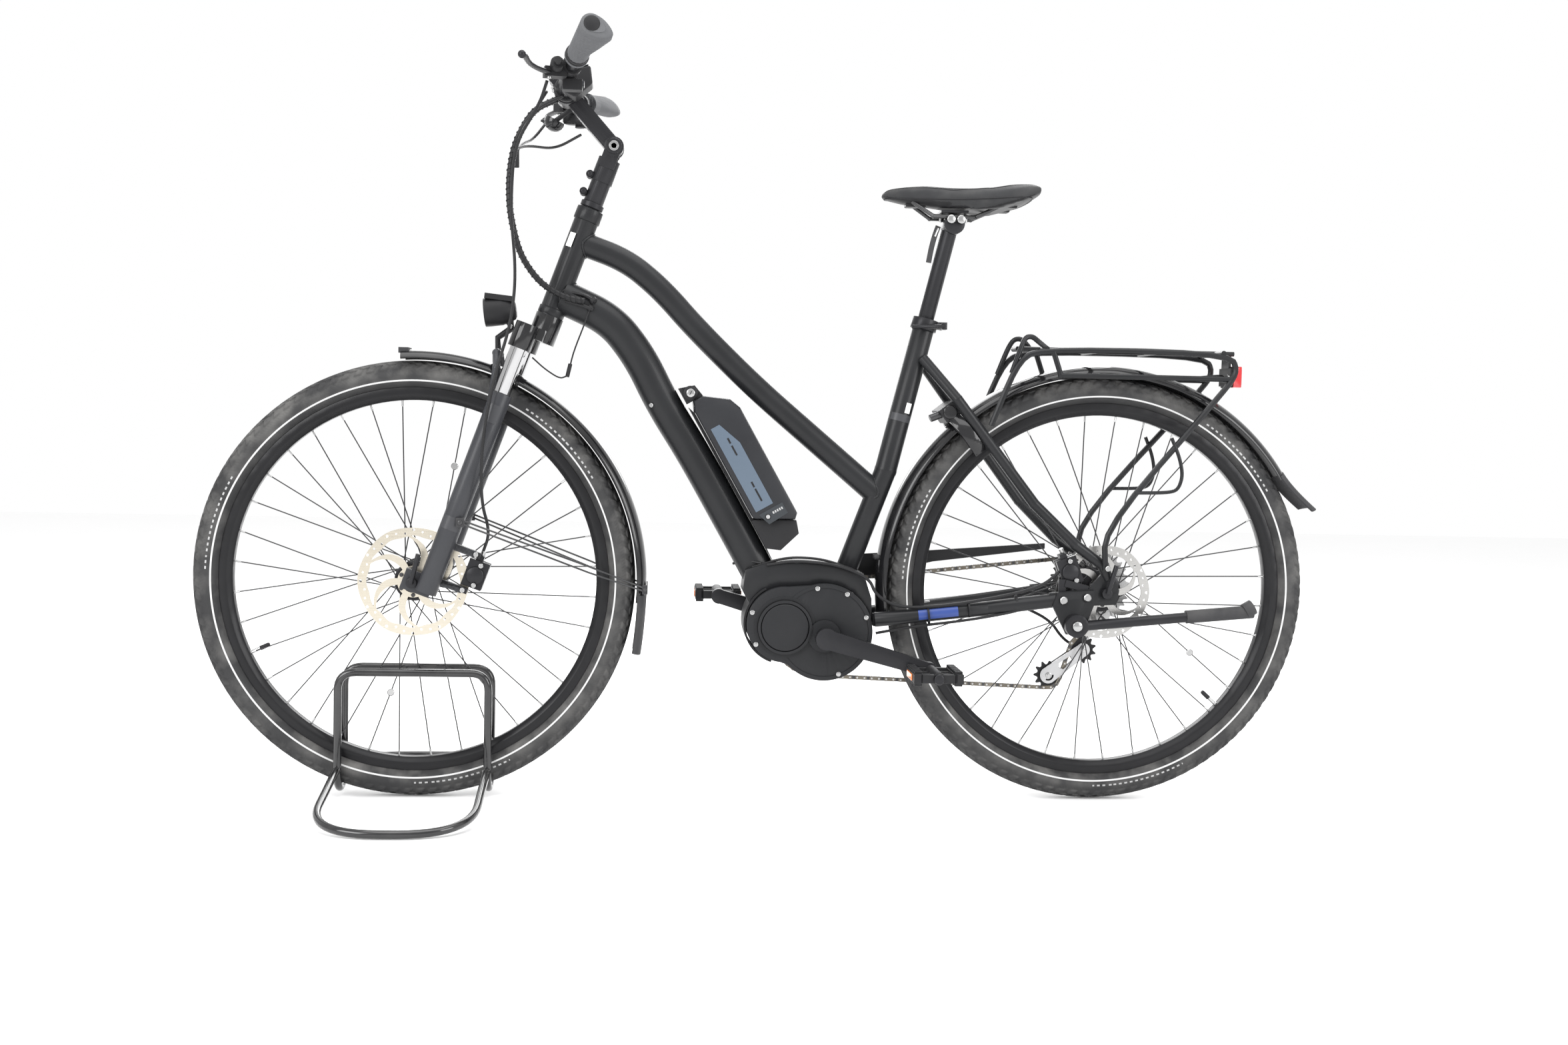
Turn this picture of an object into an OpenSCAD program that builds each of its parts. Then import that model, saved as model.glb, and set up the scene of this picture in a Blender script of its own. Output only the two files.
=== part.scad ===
// Electric touring bicycle with its front wheel held in a tubular floor stand.
// +X runs to the rear, +Y to the right side, +Z up. The floor is z = 0.

/* [Wheels] */
// Distance between the two wheel axles
wheelbase = 1144; // [1100:1:1400]
// Outer radius of the tyres
tyre_r = 361; // [355:1:368]
// Width of the tyres
tyre_w = 50; // [40:1:51]
// Depth of the rims along the radius
rim_depth = 21; // [16:1:26]
// Width of the rims
rim_w = 29; // [24:1:32]
// Number of spokes in each wheel
spoke_count = 36; // [28:4:36]
// Diameter of a spoke
spoke_d = 2; // [1.8:0.1:2.6]
// Diameter of the front brake disc
front_disc_d = 180; // [160:10:186]
// Diameter of the rear brake disc
rear_disc_d = 160; // [150:5:165]

/* [Fork] */
// Angle of the steering axis above the floor
head_angle = 70; // [69:0.5:71]
// Distance of the front axle ahead of the steering axis
fork_offset = 50; // [46:1:52]
// Diameter of the sliding fork tubes
stanchion_d = 28; // [26:1:30]
// Distance of each fork leg from the middle plane
leg_y = 66; // [64:1:72]
// Diameter of the steering tube
steerer_d = 28.6; // [25.4:0.1:30]
// Spring travel of the fork
fork_travel = 50; // [30:1:50]

/* [Frame] */
// Outer diameter of the head tube
head_tube_d = 40; // [38:1:48]
// Length of the head tube
head_tube_l = 170; // [150:1:175]
// Height of the down tube's section
down_tube_h = 58; // [48:1:66]
// Height of the top tube's section
top_tube_h = 40; // [32:1:46]
// Outer diameter of the seat tube
seat_tube_d = 37; // [34:1:42]
// Wall of the frame tubes
tube_wall = 2.5; // [2:0.1:4]
// Diameter of the seat stays
seat_stay_d = 18; // [14:1:20]
// Diameter of the chain stays
chain_stay_d = 24; // [20:1:26]

/* [Drive] */
// Length of a crank arm from axle to pedal
crank_l = 177; // [155:1:180]
// Angle of the left crank arm below the horizontal
crank_angle = 16; // [0:1:90]
// Teeth on the chainring
ring_teeth = 40; // [38:1:42]
// Teeth on the sprocket that carries the chain
sprocket_teeth = 26; // [26:1:26]
// Diameter of the crank axle
crank_axle_d = 22; // [18:1:26]
// Width of a pedal from its inner to its outer end
pedal_w = 94; // [78:1:104]
// Length of a pedal along the bicycle
pedal_l = 80; // [66:1:96]

/* [Battery] */
// Width of the battery
battery_w = 90; // [74:1:96]
// Thickness of the battery above the down tube
battery_t = 74; // [60:1:78]

/* [Seat] */
// Diameter of the seat post
seat_post_d = 27.2; // [25:0.1:30]
// Width of the saddle at its rear
saddle_w = 190; // [150:1:230]
// Length of the saddle
saddle_l = 262; // [230:1:290]

/* [Handlebar] */
// Diameter of the handlebar where it is gripped
bar_d = 22.2; // [20:0.1:24]
// Diameter of the handlebar at the stem clamp
bar_clamp_d = 31.8; // [26:0.1:33]
// Half of the handlebar's width
bar_half = 325; // [300:1:360]
// Length of a grip
grip_l = 128; // [110:1:130]
// Diameter of a grip
grip_d = 33; // [29:1:36]

/* [Carrier] */
// Width of the carrier over its two side rails
rack_w = 124; // [110:1:140]
// Diameter of the carrier's tubes
rack_d = 10; // [8:1:12]
// Width of the mudguards
mudguard_w = 62; // [56:1:64]

/* [Kickstand] */
// Length of the kickstand's leg below its pivot
kickstand_l = 298; // [240:1:300]

/* [Stand] */
// Diameter of the floor stand's tube
stand_d = 13; // [10:0.5:16]
// Distance between the legs of a hoop, along the wheel
hoop_l = 244; // [220:1:270]
// Height of the hoops
hoop_h = 216; // [190:1:240]
// Width of the floor stand over its two floor bars
stand_w = 600; // [500:1:660]
// Gap between the tyre and each hoop
tyre_gap = 0.6; // [0.4:0.1:3]

/* [Hidden] */
$fn = 48;

run = 0.05;      // radial clearance of a running fit
chain_pitch = 12.7;
hub_d = 9;       // diameter of the wheel axles
front_x = -584;
rear_x = front_x + wheelbase;
bb = [rear_x - 469, 0, 281];           // centre of the crank axle
tyre_ring_r = tyre_r - tyre_w / 2;     // radius of the tyre's section centre
rim_top_r = tyre_r - 44;
front_old = 50;                        // half of the front hub's width
rear_old = 67.5;                       // half of the rear hub's width
front_disc_y = -40;
rear_disc_y = -52;
guard_r = tyre_r + 19;                 // outer radius of the mudguards
guard_t = 2;

// The steering frame: p runs square to the steering axis, s along it from the floor
lean = 90 - head_angle;
trail = tyre_r / tan(head_angle) - fork_offset / sin(head_angle);
steer_x = front_x - trail;
hub_s = trail * cos(head_angle) + tyre_r * sin(head_angle);
head_s = 856;
crown_s = 783;
leg_p = -23;
leg_d = stanchion_d + 7;
function steered(p, y, s) = [steer_x + p * cos(lean) + s * sin(lean), y, s * cos(lean) - p * sin(lean)];

// Chainline and sprocket radii
function pitch_r(teeth) = chain_pitch / (2 * sin(180 / teeth));
chain_y = 44;
chain_h = 8;
chain_w = 5.6;
cogs = [34, 30, sprocket_teeth, 23, 20, 17, 14, 11];
cog_step = 4;
pulley_teeth = 11;
upper_pulley = [rear_x - 6, 250];
lower_pulley = [rear_x - 66, 205];

// Seat tube: straight above its bend, then on to the motor bracket
seat_tube_angle = 76.5;
seat_bend = [rear_x - 366, 0, 557];
seat_top_z = 808;
function on_seat(z) = [seat_bend[0] + (z - seat_bend[2]) / tan(seat_tube_angle), 0, z];
seat_foot = [bb[0] + 42, 0, 392];

// Stem and handlebar
pivot = steered(0, 0, 1147);
bar_mid = [pivot[0] - 77, 0, pivot[2] + 86];
bar_bend = bar_mid + [4, -110, 5];
bar_end = [bar_mid[0] + 49, -bar_half, bar_mid[2] + 40];
function flip(p) = [p[0], -p[1], p[2]];
function unit(v) = v / norm(v);
function mix(a, b, t) = a + (b - a) * t;
bar_dir = unit(bar_end - bar_bend);
function along_bar(y) = mix(bar_bend, bar_end, (y + bar_bend[1]) / (bar_bend[1] - bar_end[1]));
lever_pivot = along_bar(165) + [-36, 2, -14];

// Wheel stand
hoop_y = tyre_w / 2 + tyre_gap + stand_d / 2;
knee_z = tyre_r - sqrt(tyre_ring_r * tyre_ring_r - hoop_l * hoop_l / 4) - 3;

// Frame tubes, in the middle plane, from the head tube to the motor bracket
down_path = [
  steered(8, 0, 889), [front_x + 314, 0, 797], [front_x + 362, 0, 737], [front_x + 401, 0, 660],
  [bb[0] - 220, 0, 577], [bb[0] - 153, 0, 460], [bb[0] - 103, 0, 372]
];
top_path = [
  steered(-2, 0, 982), [front_x + 338, 0, 895], [front_x + 396, 0, 849], [front_x + 455, 0, 785],
  [bb[0] - 122, 0, 692], [bb[0] - 24, 0, 610], [bb[0] + 72, 0, 530], [bb[0] + 88, 0, 516]
];
stay_path = [
  on_seat(752) + [8, -18, -6], [rear_x - 255, -46, 678], [rear_x - 123, -60, 507],
  [rear_x - 54, -70, 441], [rear_x - 8, -71, 408], [rear_x + 4, -71, 385]
];
chain_stay_path = [[bb[0] + 84, -50, 309], [rear_x - 200, -58, 331], [rear_x - 74, -68, 349]];

// Route of the bundled brake and wiring hoses in front of the head tube
loom_path = [
  [-362, -30, 1148], [-400, -34, 1130], [-428, -46, 1075], [-436, -56, 1020], [-434, -58, 960],
  [-418, -52, 895], [-385, -46, 850], [-346, -40, 829], [-314, -34.5, 824]
];
// Route of the front brake hose down to its caliper
hose_path = [
  lever_pivot + [-4, 14, -9.3], lever_pivot + [-16, 26, -44],
  [-424, -110, 1060], [-430, -92, 960], [-420, -88, 860],
  [-428, -88, 780], [-452, -90, 700], [-470, -94, 600], [-472, -92, 500],
  steered(leg_p + 61, -leg_y + 18, 486), steered(leg_p + 61, -leg_y + 26, 447.2)
];

// Straight round rod between two points
module rod(a, b, d) {
  v = b - a;
  translate(a)
    rotate([0, acos(v[2] / norm(v)), atan2(v[1], v[0])])
      cylinder(d = d, h = norm(v));
}
// Rods joined end to end, with a ball at each corner
module bent_rod(points, d) {
  for (i = [0 : len(points) - 2])
    rod(points[i], points[i + 1], d);
  for (i = [1 : len(points) - 2])
    translate(points[i])
      sphere(d = d * 1.03);
}
// Round bar along Y
module axle(x, z, y0, y1, d) {
  translate([x, y1, z])
    rotate([90, 0, 0])
      cylinder(d = d, h = y1 - y0);
}
// Flat outline in the X-Z plane, thick from y0 to y1
module slab(y0, y1) {
  translate([0, y1, 0])
    rotate([90, 0, 0])
      linear_extrude(y1 - y0)
        children();
}
// Section turned about a wheel's axle, from one angle to another above the +X direction
module turned(x, z, from = 0, sweep = 360) {
  translate([x, 0, z])
    rotate([90, 0, 0])
      rotate([0, 0, from])
        rotate_extrude(angle = sweep, $fn = 144)
          children();
}
module on_steer() {
  translate([steer_x, 0, 0])
    rotate([0, lean, 0])
      children();
}
module both_sides() {
  children();
  mirror([0, 1, 0])
    children();
}

// Tube swept along a path, each ring square to it
function tangents(p) = [for (i = [0 : len(p) - 1])
  unit(p[min(i + 1, len(p) - 1)] - p[max(i - 1, 0)])];
function sides_of(t, i, side) = i == len(t) ? [] :
  let (s = unit(side - (side * t[i]) * t[i])) concat([s], sides_of(t, i + 1, s));
function curve(a, b, c, t) = mix(mix(a, b, t), mix(b, c, t), t);
function rounded(p, n) = [
  p[0],
  for (i = [1 : len(p) - 2])
    for (k = [0 : n])
      curve(mix(p[i], p[i - 1], 0.45), p[i], mix(p[i], p[i + 1], 0.45), k / n),
  p[len(p) - 1]
];
module swept(path, w, h, sides = 12, side = [0, 1, 0]) {
  t = tangents(path);
  s = sides_of(t, 0, side);
  n = len(path);
  points = [
    for (i = [0 : n - 1])
      for (k = [0 : sides - 1])
        let (a = 360 * (k + 0.5) / sides, up = cross(t[i], s[i]))
          path[i] + s[i] * cos(a) * w / 2 + up * sin(a) * h / 2
  ];
  walls = [
    for (i = [0 : n - 2])
      for (k = [0 : sides - 1])
        for (half = [0, 1])
          let (a = i * sides + k, b = i * sides + (k + 1) % sides)
            half == 0 ? [a, a + sides, b] : [b, a + sides, b + sides]
  ];
  start = [[for (k = [0 : sides - 1]) k]];
  end = [[for (k = [sides - 1 : -1 : 0]) (n - 1) * sides + k]];
  polyhedron(points, concat(walls, start, end));
}
// Hollow frame tube along a path
module frame_tube(path, w, h) {
  difference() {
    swept(path, w, h, 20);
    swept(path, w - 2 * tube_wall, h - 2 * tube_wall, 20);
  }
}

// ---- Wheels
module tyre(x) {
  turned(x, tyre_r)
    difference() {
      translate([tyre_ring_r, 0])
        circle(d = tyre_w);
      translate([tyre_ring_r, 0])
        circle(d = tyre_w - 9);
      translate([rim_top_r - 60, -50])
        square([60, 100]);
    }
}
module rim(x) {
  turned(x, tyre_r)
    difference() {
      polygon([
        [rim_top_r, -rim_w / 2], [rim_top_r, rim_w / 2], [rim_top_r - rim_depth * 0.6, rim_w / 2],
        [rim_top_r - rim_depth, rim_w * 0.26], [rim_top_r - rim_depth, -rim_w * 0.26],
        [rim_top_r - rim_depth * 0.6, -rim_w / 2]
      ]);
      translate([rim_top_r - 6, -rim_w / 2 + 3])
        square([12, rim_w - 6]);
      translate([rim_top_r - rim_depth + 3, -rim_w * 0.26 + 1])
        square([rim_depth - 12, rim_w * 0.52 - 2]);
    }
}
// Crossed spokes: each leaves its flange hole and leans a quarter turn either way
module spokes(x, left_y, right_y, flange_r) {
  nipple_r = rim_top_r - rim_depth + 2;
  per_side = spoke_count / 2;
  cross_angle = 54;
  for (i = [0 : spoke_count - 1]) {
    right = i % 2;
    lean_dir = floor(i / 2) % 2 == 0 ? 1 : -1;
    rim_a = 360 * (i + 0.5) / spoke_count;
    hub_a = rim_a + lean_dir * cross_angle;
    fy = right == 1 ? right_y + 1.6 * lean_dir : left_y + 1.6 * lean_dir;
    rod(
      [x + flange_r * cos(hub_a), fy, tyre_r + flange_r * sin(hub_a)],
      [x + nipple_r * cos(rim_a), fy * 0.1, tyre_r + nipple_r * sin(rim_a)],
      spoke_d
    );
  }
}
module disc(x, y, d) {
  slab(y - 0.9, y + 0.9)
    translate([x, tyre_r])
      difference() {
        union() {
          difference() {
            circle(d = d, $fn = 96);
            circle(d = d - 34, $fn = 96);
          }
          for (a = [0 : 60 : 300])
            rotate(a)
              translate([15, -5])
                square([d / 2 - 22, 10]);
          circle(r = 26);
        }
        circle(r = 17.5);
      }
}
module front_tyre() color("#2b2b2b") tyre(front_x);
module rear_tyre() color("#2b2b2b") tyre(rear_x);
module front_rim() color("#1b1b1d") rim(front_x);
module rear_rim() color("#1b1b1d") rim(rear_x);
module front_spokes() color("#55565a") spokes(front_x, -24, 34, 27);
module rear_spokes() color("#55565a") spokes(rear_x, -36, 24, 29);
module front_disc() color("#a9a59e") disc(front_x, front_disc_y, front_disc_d);
module rear_disc() color("#a9a59e") disc(rear_x, rear_disc_y, rear_disc_d);

module front_hub() color("#232325") {
  difference() {
    union() {
      axle(front_x, tyre_r, -24, 34, 34);
      axle(front_x, tyre_r, -26, -22, 66);
      axle(front_x, tyre_r, 32, 36, 66);
      axle(front_x, tyre_r, front_disc_y + 0.9, -24, 50);
      axle(front_x, tyre_r, -front_old + 1.2, -24, 34.8);
      axle(front_x, tyre_r, 34, front_old - 1.2, 26);
    }
    axle(front_x, tyre_r, -60, 60, hub_d + 2 * run);
  }
}
module rear_hub() color("#232325") {
  difference() {
    union() {
      axle(rear_x, tyre_r, -36, 24, 38);
      axle(rear_x, tyre_r, -38, -34, 70);
      axle(rear_x, tyre_r, 22, 26, 70);
      axle(rear_x, tyre_r, rear_disc_y + 0.9, -36, 50);
      axle(rear_x, tyre_r, -rear_old + 1.2, -36, 34.8);
      axle(rear_x, tyre_r, 24, rear_old - 1.4, 28);
    }
    axle(rear_x, tyre_r, -80, 80, hub_d + 2 * run);
  }
}
// Quick-release axle with its lever on the left and its nut on the right
module quick_axle(x, half, plate) {
  axle(x, tyre_r, -half - plate, half + plate, hub_d);
  axle(x, tyre_r, -half - plate - 8, -half - plate, 17);
  axle(x, tyre_r, half + plate, half + plate + 9, 17);
  rod([x, -half - plate - 10, tyre_r], [x + 12, -half - plate - 14, tyre_r + 48], 8);
}
module front_axle() color("#3a3a3c") quick_axle(front_x, front_old, 10);
module rear_axle() color("#3a3a3c") quick_axle(rear_x, rear_old, 7);

// ---- Steering, fork and stem
module fork_crown() color("#141416") {
  on_steer() {
    both_sides() {
      translate([leg_p, leg_y, crown_s])
        cylinder(d = leg_d + 3, h = 42);
      translate([leg_p, leg_y, hub_s + fork_travel + 14])
        cylinder(d = stanchion_d, h = crown_s - hub_s - fork_travel - 14);
    }
    translate([leg_p - 16, -leg_y, crown_s + 23])
      cube([46, 2 * leg_y, 19]);
    translate([0, 0, crown_s + 23])
      cylinder(d = 46, h = 46);
    translate([0, 0, crown_s + 68])
      cylinder(d = steerer_d, h = 1131 - crown_s - 68);
  }
}
module head_tube() color("#17181a") {
  on_steer()
    difference() {
      union() {
        translate([0, 0, head_s])
          cylinder(d = head_tube_d, h = head_tube_l);
        translate([0, 0, head_s - 3])
          cylinder(d = head_tube_d + 4, h = 12);
        translate([0, 0, head_s + head_tube_l - 8])
          cylinder(d = head_tube_d + 4, h = 21);
      }
      translate([0, 0, head_s - 10])
        cylinder(d = steerer_d + 2 * run, h = head_tube_l + 40);
    }
}
module stem_base() color("#1a1a1c") {
  on_steer()
    difference() {
      union() {
        translate([0, 0, head_s + head_tube_l + 14])
          cylinder(d = steerer_d + 4, h = 48);
        translate([0, 0, 1086])
          cylinder(d = steerer_d + 8, h = 40);
        both_sides()
          translate([-13, 14.1, 1110])
            cube([26, 4.4, 37]);
      }
      translate([0, 0, 1000])
        cylinder(d = steerer_d, h = 134);
    }
  both_sides() {
    axle(pivot[0], pivot[2], 13.8, 18.8, 32);
    axle(pivot[0], pivot[2], 18.8, 23, 14);
  }
  axle(pivot[0], pivot[2], -14, 14, 8);
}
module stem_arm() color("#1a1a1c") {
  rise = atan2(bar_mid[2] - pivot[2], bar_mid[0] - pivot[0]);
  difference() {
    union() {
      axle(pivot[0], pivot[2], -13.5, 13.5, 30);
      slab(-13, 13)
        translate([pivot[0], pivot[2]])
          rotate(rise)
            translate([0, -13])
              square([norm(bar_mid - pivot), 26]);
      axle(bar_mid[0], bar_mid[2], -24, 24, bar_clamp_d + 11);
    }
    axle(pivot[0], pivot[2], -30, 30, 8 + 2 * run);
    axle(bar_mid[0], bar_mid[2], -30, 30, bar_clamp_d);
  }
}
module handlebar() color("#1c1c1e") {
  axle(bar_mid[0], bar_mid[2], -40, 40, bar_clamp_d);
  both_sides() {
    rod(bar_mid + [0, -38, 0], bar_bend + unit(bar_bend - bar_mid) * 2.5, bar_d + 0.4);
    rod(bar_bend - bar_dir * 3, bar_end, bar_d);
  }
}
module grips() color("#3d3e40") {
  both_sides()
    difference() {
      rod(along_bar(bar_half - grip_l), along_bar(bar_half + 3), grip_d);
      rod(along_bar(bar_half - grip_l - 5), bar_end, bar_d);
    }
}
module controls() color("#1e1e20") {
  display();
  both_sides()
    difference() {
      union() {
        rod(along_bar(158), along_bar(176), bar_d + 9);
        translate(lever_pivot + [-9, -10, -8])
          cube([30, 34, 16]);
      }
      rod(along_bar(116), along_bar(230), bar_d);
      translate(lever_pivot + [-14, -16, -4])
        cube([24, 26, 8]);
      translate(lever_pivot + [0, 0, -20])
        cylinder(d = 6, h = 40);
    }
  both_sides()
    translate(lever_pivot + [0, 0, -8])
      cylinder(d = 6, h = 16);
  difference() {
    union() {
      rod(along_bar(122), along_bar(136), bar_d + 8);
      translate(along_bar(129) + [-4, -8, -30])
        cube([28, 22, 20]);
    }
    rod(along_bar(111), along_bar(200), bar_d);
  }
  mirror([0, 1, 0])
    difference() {
      union() {
        rod(along_bar(122), along_bar(136), bar_d + 8);
        translate(along_bar(133) + [-18, -4, -36])
          cube([36, 22, 26]);
      }
      rod(along_bar(111), along_bar(200), bar_d);
    }
}
module display() {
  difference() {
    axle(bar_mid[0], bar_mid[2], -38, -28, bar_clamp_d + 8);
    axle(bar_mid[0], bar_mid[2], -50, -20, bar_clamp_d);
  }
  translate([bar_mid[0] + 8, -77, bar_mid[2] + 24])
    rotate([0, 35, 0])
      translate([-32, 0, -7])
        cube([64, 50, 14]);
}
// Brake lever blade: eye on its pivot, then a bent blade out along the grip
module brake_lever() {
  tip = lever_pivot + [-30, -112, 2];
  difference() {
    union() {
      translate(lever_pivot + [0, 0, -3.7])
        cylinder(d = 15, h = 7.4);
      rod(lever_pivot + [-2.2, -4.4, 0], lever_pivot + [-24, -44, 0], 7.2);
      rod(lever_pivot + [-24, -44, 0], tip, 6.8);
      translate(lever_pivot + [-24, -44, 0])
        rotate([90, 0, 0])
          sphere(d = 8);
      translate(tip - [0, 0, 3.8])
        cylinder(d = 12, h = 7.6);
    }
    translate(lever_pivot + [0, 0, -20])
      cylinder(d = 6 + 2 * run, h = 40);
  }
}
module brake_lever_left() color("#27272a") brake_lever();
module brake_lever_right() color("#27272a") mirror([0, 1, 0]) brake_lever();
shift_pivot = flip(along_bar(133)) + [6, 0, -36.3];
module shift_lever() color("#27272a") {
  translate(shift_pivot + [0, 0, -6])
    cylinder(d = 16, h = 6);
  rod(shift_pivot + [0, 0, -3], shift_pivot + [34, 16, -3], 5);
}

module fork_lowers() color("#2f3033") {
  on_steer()
    difference() {
      union() {
        both_sides() {
          translate([leg_p, leg_y, hub_s - 6])
            cylinder(d = leg_d, h = 705 - hub_s + 6);
          translate([-fork_offset - 16, front_old, hub_s - 14])
            cube([fork_offset + leg_p + 22, 10, 34]);
          rod([leg_p - 12, leg_y - 4, 690], [-46, leg_y - 8, 740], 13);
          rod([-46, leg_y - 8, 740], [-57, 32, 763], 12.4);
          rod([-57, 33, 763], [-57, -1, 763], 13);
          translate([-46, leg_y - 8, 740])
            sphere(d = 14);
          translate([-57, 32, 763])
            sphere(d = 14);
        }
        translate([leg_p + 12, -leg_y + 4, 378])
          cube([40, 9, 11]);
        translate([leg_p + 12, -leg_y + 4, 440])
          cube([40, 9, 11]);
      }
      both_sides() {
        translate([leg_p, leg_y, hub_s + 10])
          cylinder(d = stanchion_d + 2 * run, h = 500);
        translate([-fork_offset, front_old - 1, hub_s])
          rotate([-90, 0, 0])
            cylinder(d = hub_d, h = 40);
      }
    }
}
module front_caliper() color("#232427") {
  on_steer()
    difference() {
      translate([leg_p + 43, -leg_y + 13, 382])
        cube([36, 26, 64]);
      translate([-fork_offset, front_disc_y - 2, hub_s])
        rotate([-90, 0, 0])
          cylinder(d = front_disc_d + 4, h = 4);
      translate([-fork_offset, front_disc_y + 1, hub_s])
        rotate([-90, 0, 0])
          cylinder(d = front_disc_d - 40, h = 40);
    }
}
module headlamp() color("#131315") {
  lamp = steered(-60, 0, 838);
  difference() {
    union() {
      rod(lamp, lamp + [-46, 0, -5], 46);
      slab(-4, 4)
        polygon([
          [lamp[0] - 14, lamp[2] - 18], [lamp[0] - 2, lamp[2] - 20],
          [steered(-57, 0, 770)[0] + 5, steered(-57, 0, 770)[2]],
          [steered(-57, 0, 770)[0] - 6, steered(-57, 0, 770)[2]]
        ]);
    }
    on_steer()
      translate([-57, -20, 763])
        rotate([-90, 0, 0])
          cylinder(d = 13.4, h = 40);
  }
}
// Curved section of a mudguard, edges turned in
module guard_section() {
  h = mudguard_w / 2;
  outer = [[-16, -h], [-7, -h * 0.88], [-2, -h * 0.5], [0, 0], [-2, h * 0.5], [-7, h * 0.88], [-16, h]];
  translate([guard_r, 0])
    polygon(concat(outer, [for (i = [6 : -1 : 0]) outer[i] * (1 - guard_t / h) - [guard_t, 0]]));
}
module front_mudguard() color("#0f0f11") {
  turned(front_x, tyre_r, -5, 99)
    guard_section();
  // lug under the fork's arch
  on_steer()
    translate([-62, -9, hub_s + guard_r - 3])
      cube([10, 18, 756.3 - hub_s - guard_r + 3]);
  flap = [for (i = [0 : 6]) let (a = -4 - 14 * i / 6, r = guard_r - 1 + i * 2.2)
    [front_x + r * cos(a), tyre_r + r * sin(a)]];
  back = [for (i = [6 : -1 : 0]) flap[i] - [4, 0]];
  slab(-mudguard_w / 2 + 1, mudguard_w / 2 - 1)
    polygon(concat(flap, back));
  both_sides()
    rod(
      [front_x + 70, -leg_y - leg_d / 2 - 2.5, 462],
      [front_x + guard_r - 15, -mudguard_w / 2 - 2.5, 357], 4.6
    );
}
module rear_mudguard() color("#0f0f11") {
  turned(rear_x, tyre_r, 32, 156)
    guard_section();
  // lug up to the carrier's cross tube
  slab(-14, 14)
    translate([rear_x + 74, tyre_r + guard_r - 12])
      square([12, rack_z - rack_d / 2 + 0.2 - tyre_r - guard_r + 12]);
  flap = [for (i = [0 : 6]) let (a = 33 - 12 * i / 6, r = guard_r - 2 + i * i * 0.85)
    [rear_x + r * cos(a), tyre_r + r * sin(a)]];
  back = [for (i = [6 : -1 : 0]) flap[i] - [3, 3]];
  slab(-mudguard_w / 2 + 1, mudguard_w / 2 - 1)
    polygon(concat(flap, back));
}

// ---- Frame
module down_tube() color("#1a1b1d") {
  difference() {
    frame_tube(rounded(down_path, 3), down_tube_h - 4, down_tube_h);
    on_steer()
      translate([0, 0, 500])
        cylinder(d = head_tube_d / cos(15), h = 700, $fn = 12);
    on_steer()
      translate([0, 0, head_s - 20])
        cylinder(d = (head_tube_d + 4.4) / cos(15), h = 29.2, $fn = 12);
    slab(-60, 60)
      bracket_outline(0);
  }
}
module top_tube() color("#1a1b1d") {
  difference() {
    frame_tube(rounded(top_path, 3), top_tube_h - 4, top_tube_h);
    on_steer()
      cylinder(d = head_tube_d, h = 1200);
    rod(seat_bend, on_seat(900), seat_tube_d);
    rod(seat_foot, seat_bend, seat_tube_d);
    translate(seat_bend)
      sphere(d = seat_tube_d * 1.03);
  }
}
module seat_tube() color("#1a1b1d") {
  difference() {
    union() {
      rod(seat_bend, on_seat(seat_top_z), seat_tube_d);
      bent_rod([on_seat(seat_bend[2] + 30), seat_bend, seat_foot], seat_tube_d);
    }
    rod(on_seat(seat_bend[2] + 26), on_seat(900), seat_post_d + 2 * run);
    slab(-60, 60)
      bracket_outline(0);
  }
}
// Side outline of the drive unit, grown by a gap
module motor_outline(gap) {
  translate([bb[0] - 66, 299])
    circle(r = 63 + gap, $fn = 96);
  translate([bb[0], 287])
    circle(r = 81 + gap, $fn = 96);
  polygon([
    [bb[0] - 74, 361 + gap], [bb[0] + 8, 367 + gap], [bb[0] + 8, 206 - gap], [bb[0] - 74, 237 - gap]
  ]);
}
module bracket_outline(gap) {
  polygon([
    [bb[0] - 136, 352], [bb[0] - 132, 388], [bb[0] - 96, 400], [bb[0] - 30, 401],
    [bb[0] + 40, 396], [bb[0] + 66, 384], [bb[0] + 80, 342], [bb[0] + 81, 300],
    [bb[0] + 60, 292], [bb[0] - 80, 300], [bb[0] - 124, 330]
  ]);
}
module motor_bracket() color("#1a1b1d") {
  difference() {
    slab(-37, 37)
      bracket_outline(0);
    slab(-60, 60)
      motor_outline(0.3);
  }
}
module motor_housing() color("#202124") {
  difference() {
    slab(-52, 37)
      motor_outline(0);
    axle(bb[0], bb[2], -80, 80, crank_axle_d + 2 * run);
  }
  axle(bb[0] - 66, 295, -60, -52, 90);
}
module chain_stays() color("#1a1b1d") {
  kickstand_bracket();
  both_sides() {
    difference() {
      union() {
        rod(chain_stay_path[0], mix(chain_stay_path[1], chain_stay_path[2], 0.02), chain_stay_d + 0.4);
        rod(mix(chain_stay_path[1], chain_stay_path[0], 0.02), chain_stay_path[2], chain_stay_d);
      }
      slab(-60, 60)
        motor_outline(2);
      slab(-60, 60)
        bracket_outline(0);
      slab(-rear_old, 0)
        translate([rear_x - 110, 300])
          square([130, 120]);
    }
    difference() {
      slab(-rear_old - 7, -rear_old)
        polygon([
          [rear_x - 96, 338], [rear_x - 20, 340], [rear_x + 18, 342], [rear_x + 22, 366],
          [rear_x + 14, 386], [rear_x - 10, 392], [rear_x - 30, 368], [rear_x - 96, 360]
        ]);
      axle(rear_x, tyre_r, -80, 80, hub_d);
    }
    difference() {
      rod([bb[0] + 70, -24, 306], chain_stay_path[0], chain_stay_d - 2);
      slab(-60, 60)
        motor_outline(2);
      slab(-60, 60)
        bracket_outline(0);
    }
  }
}
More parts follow.
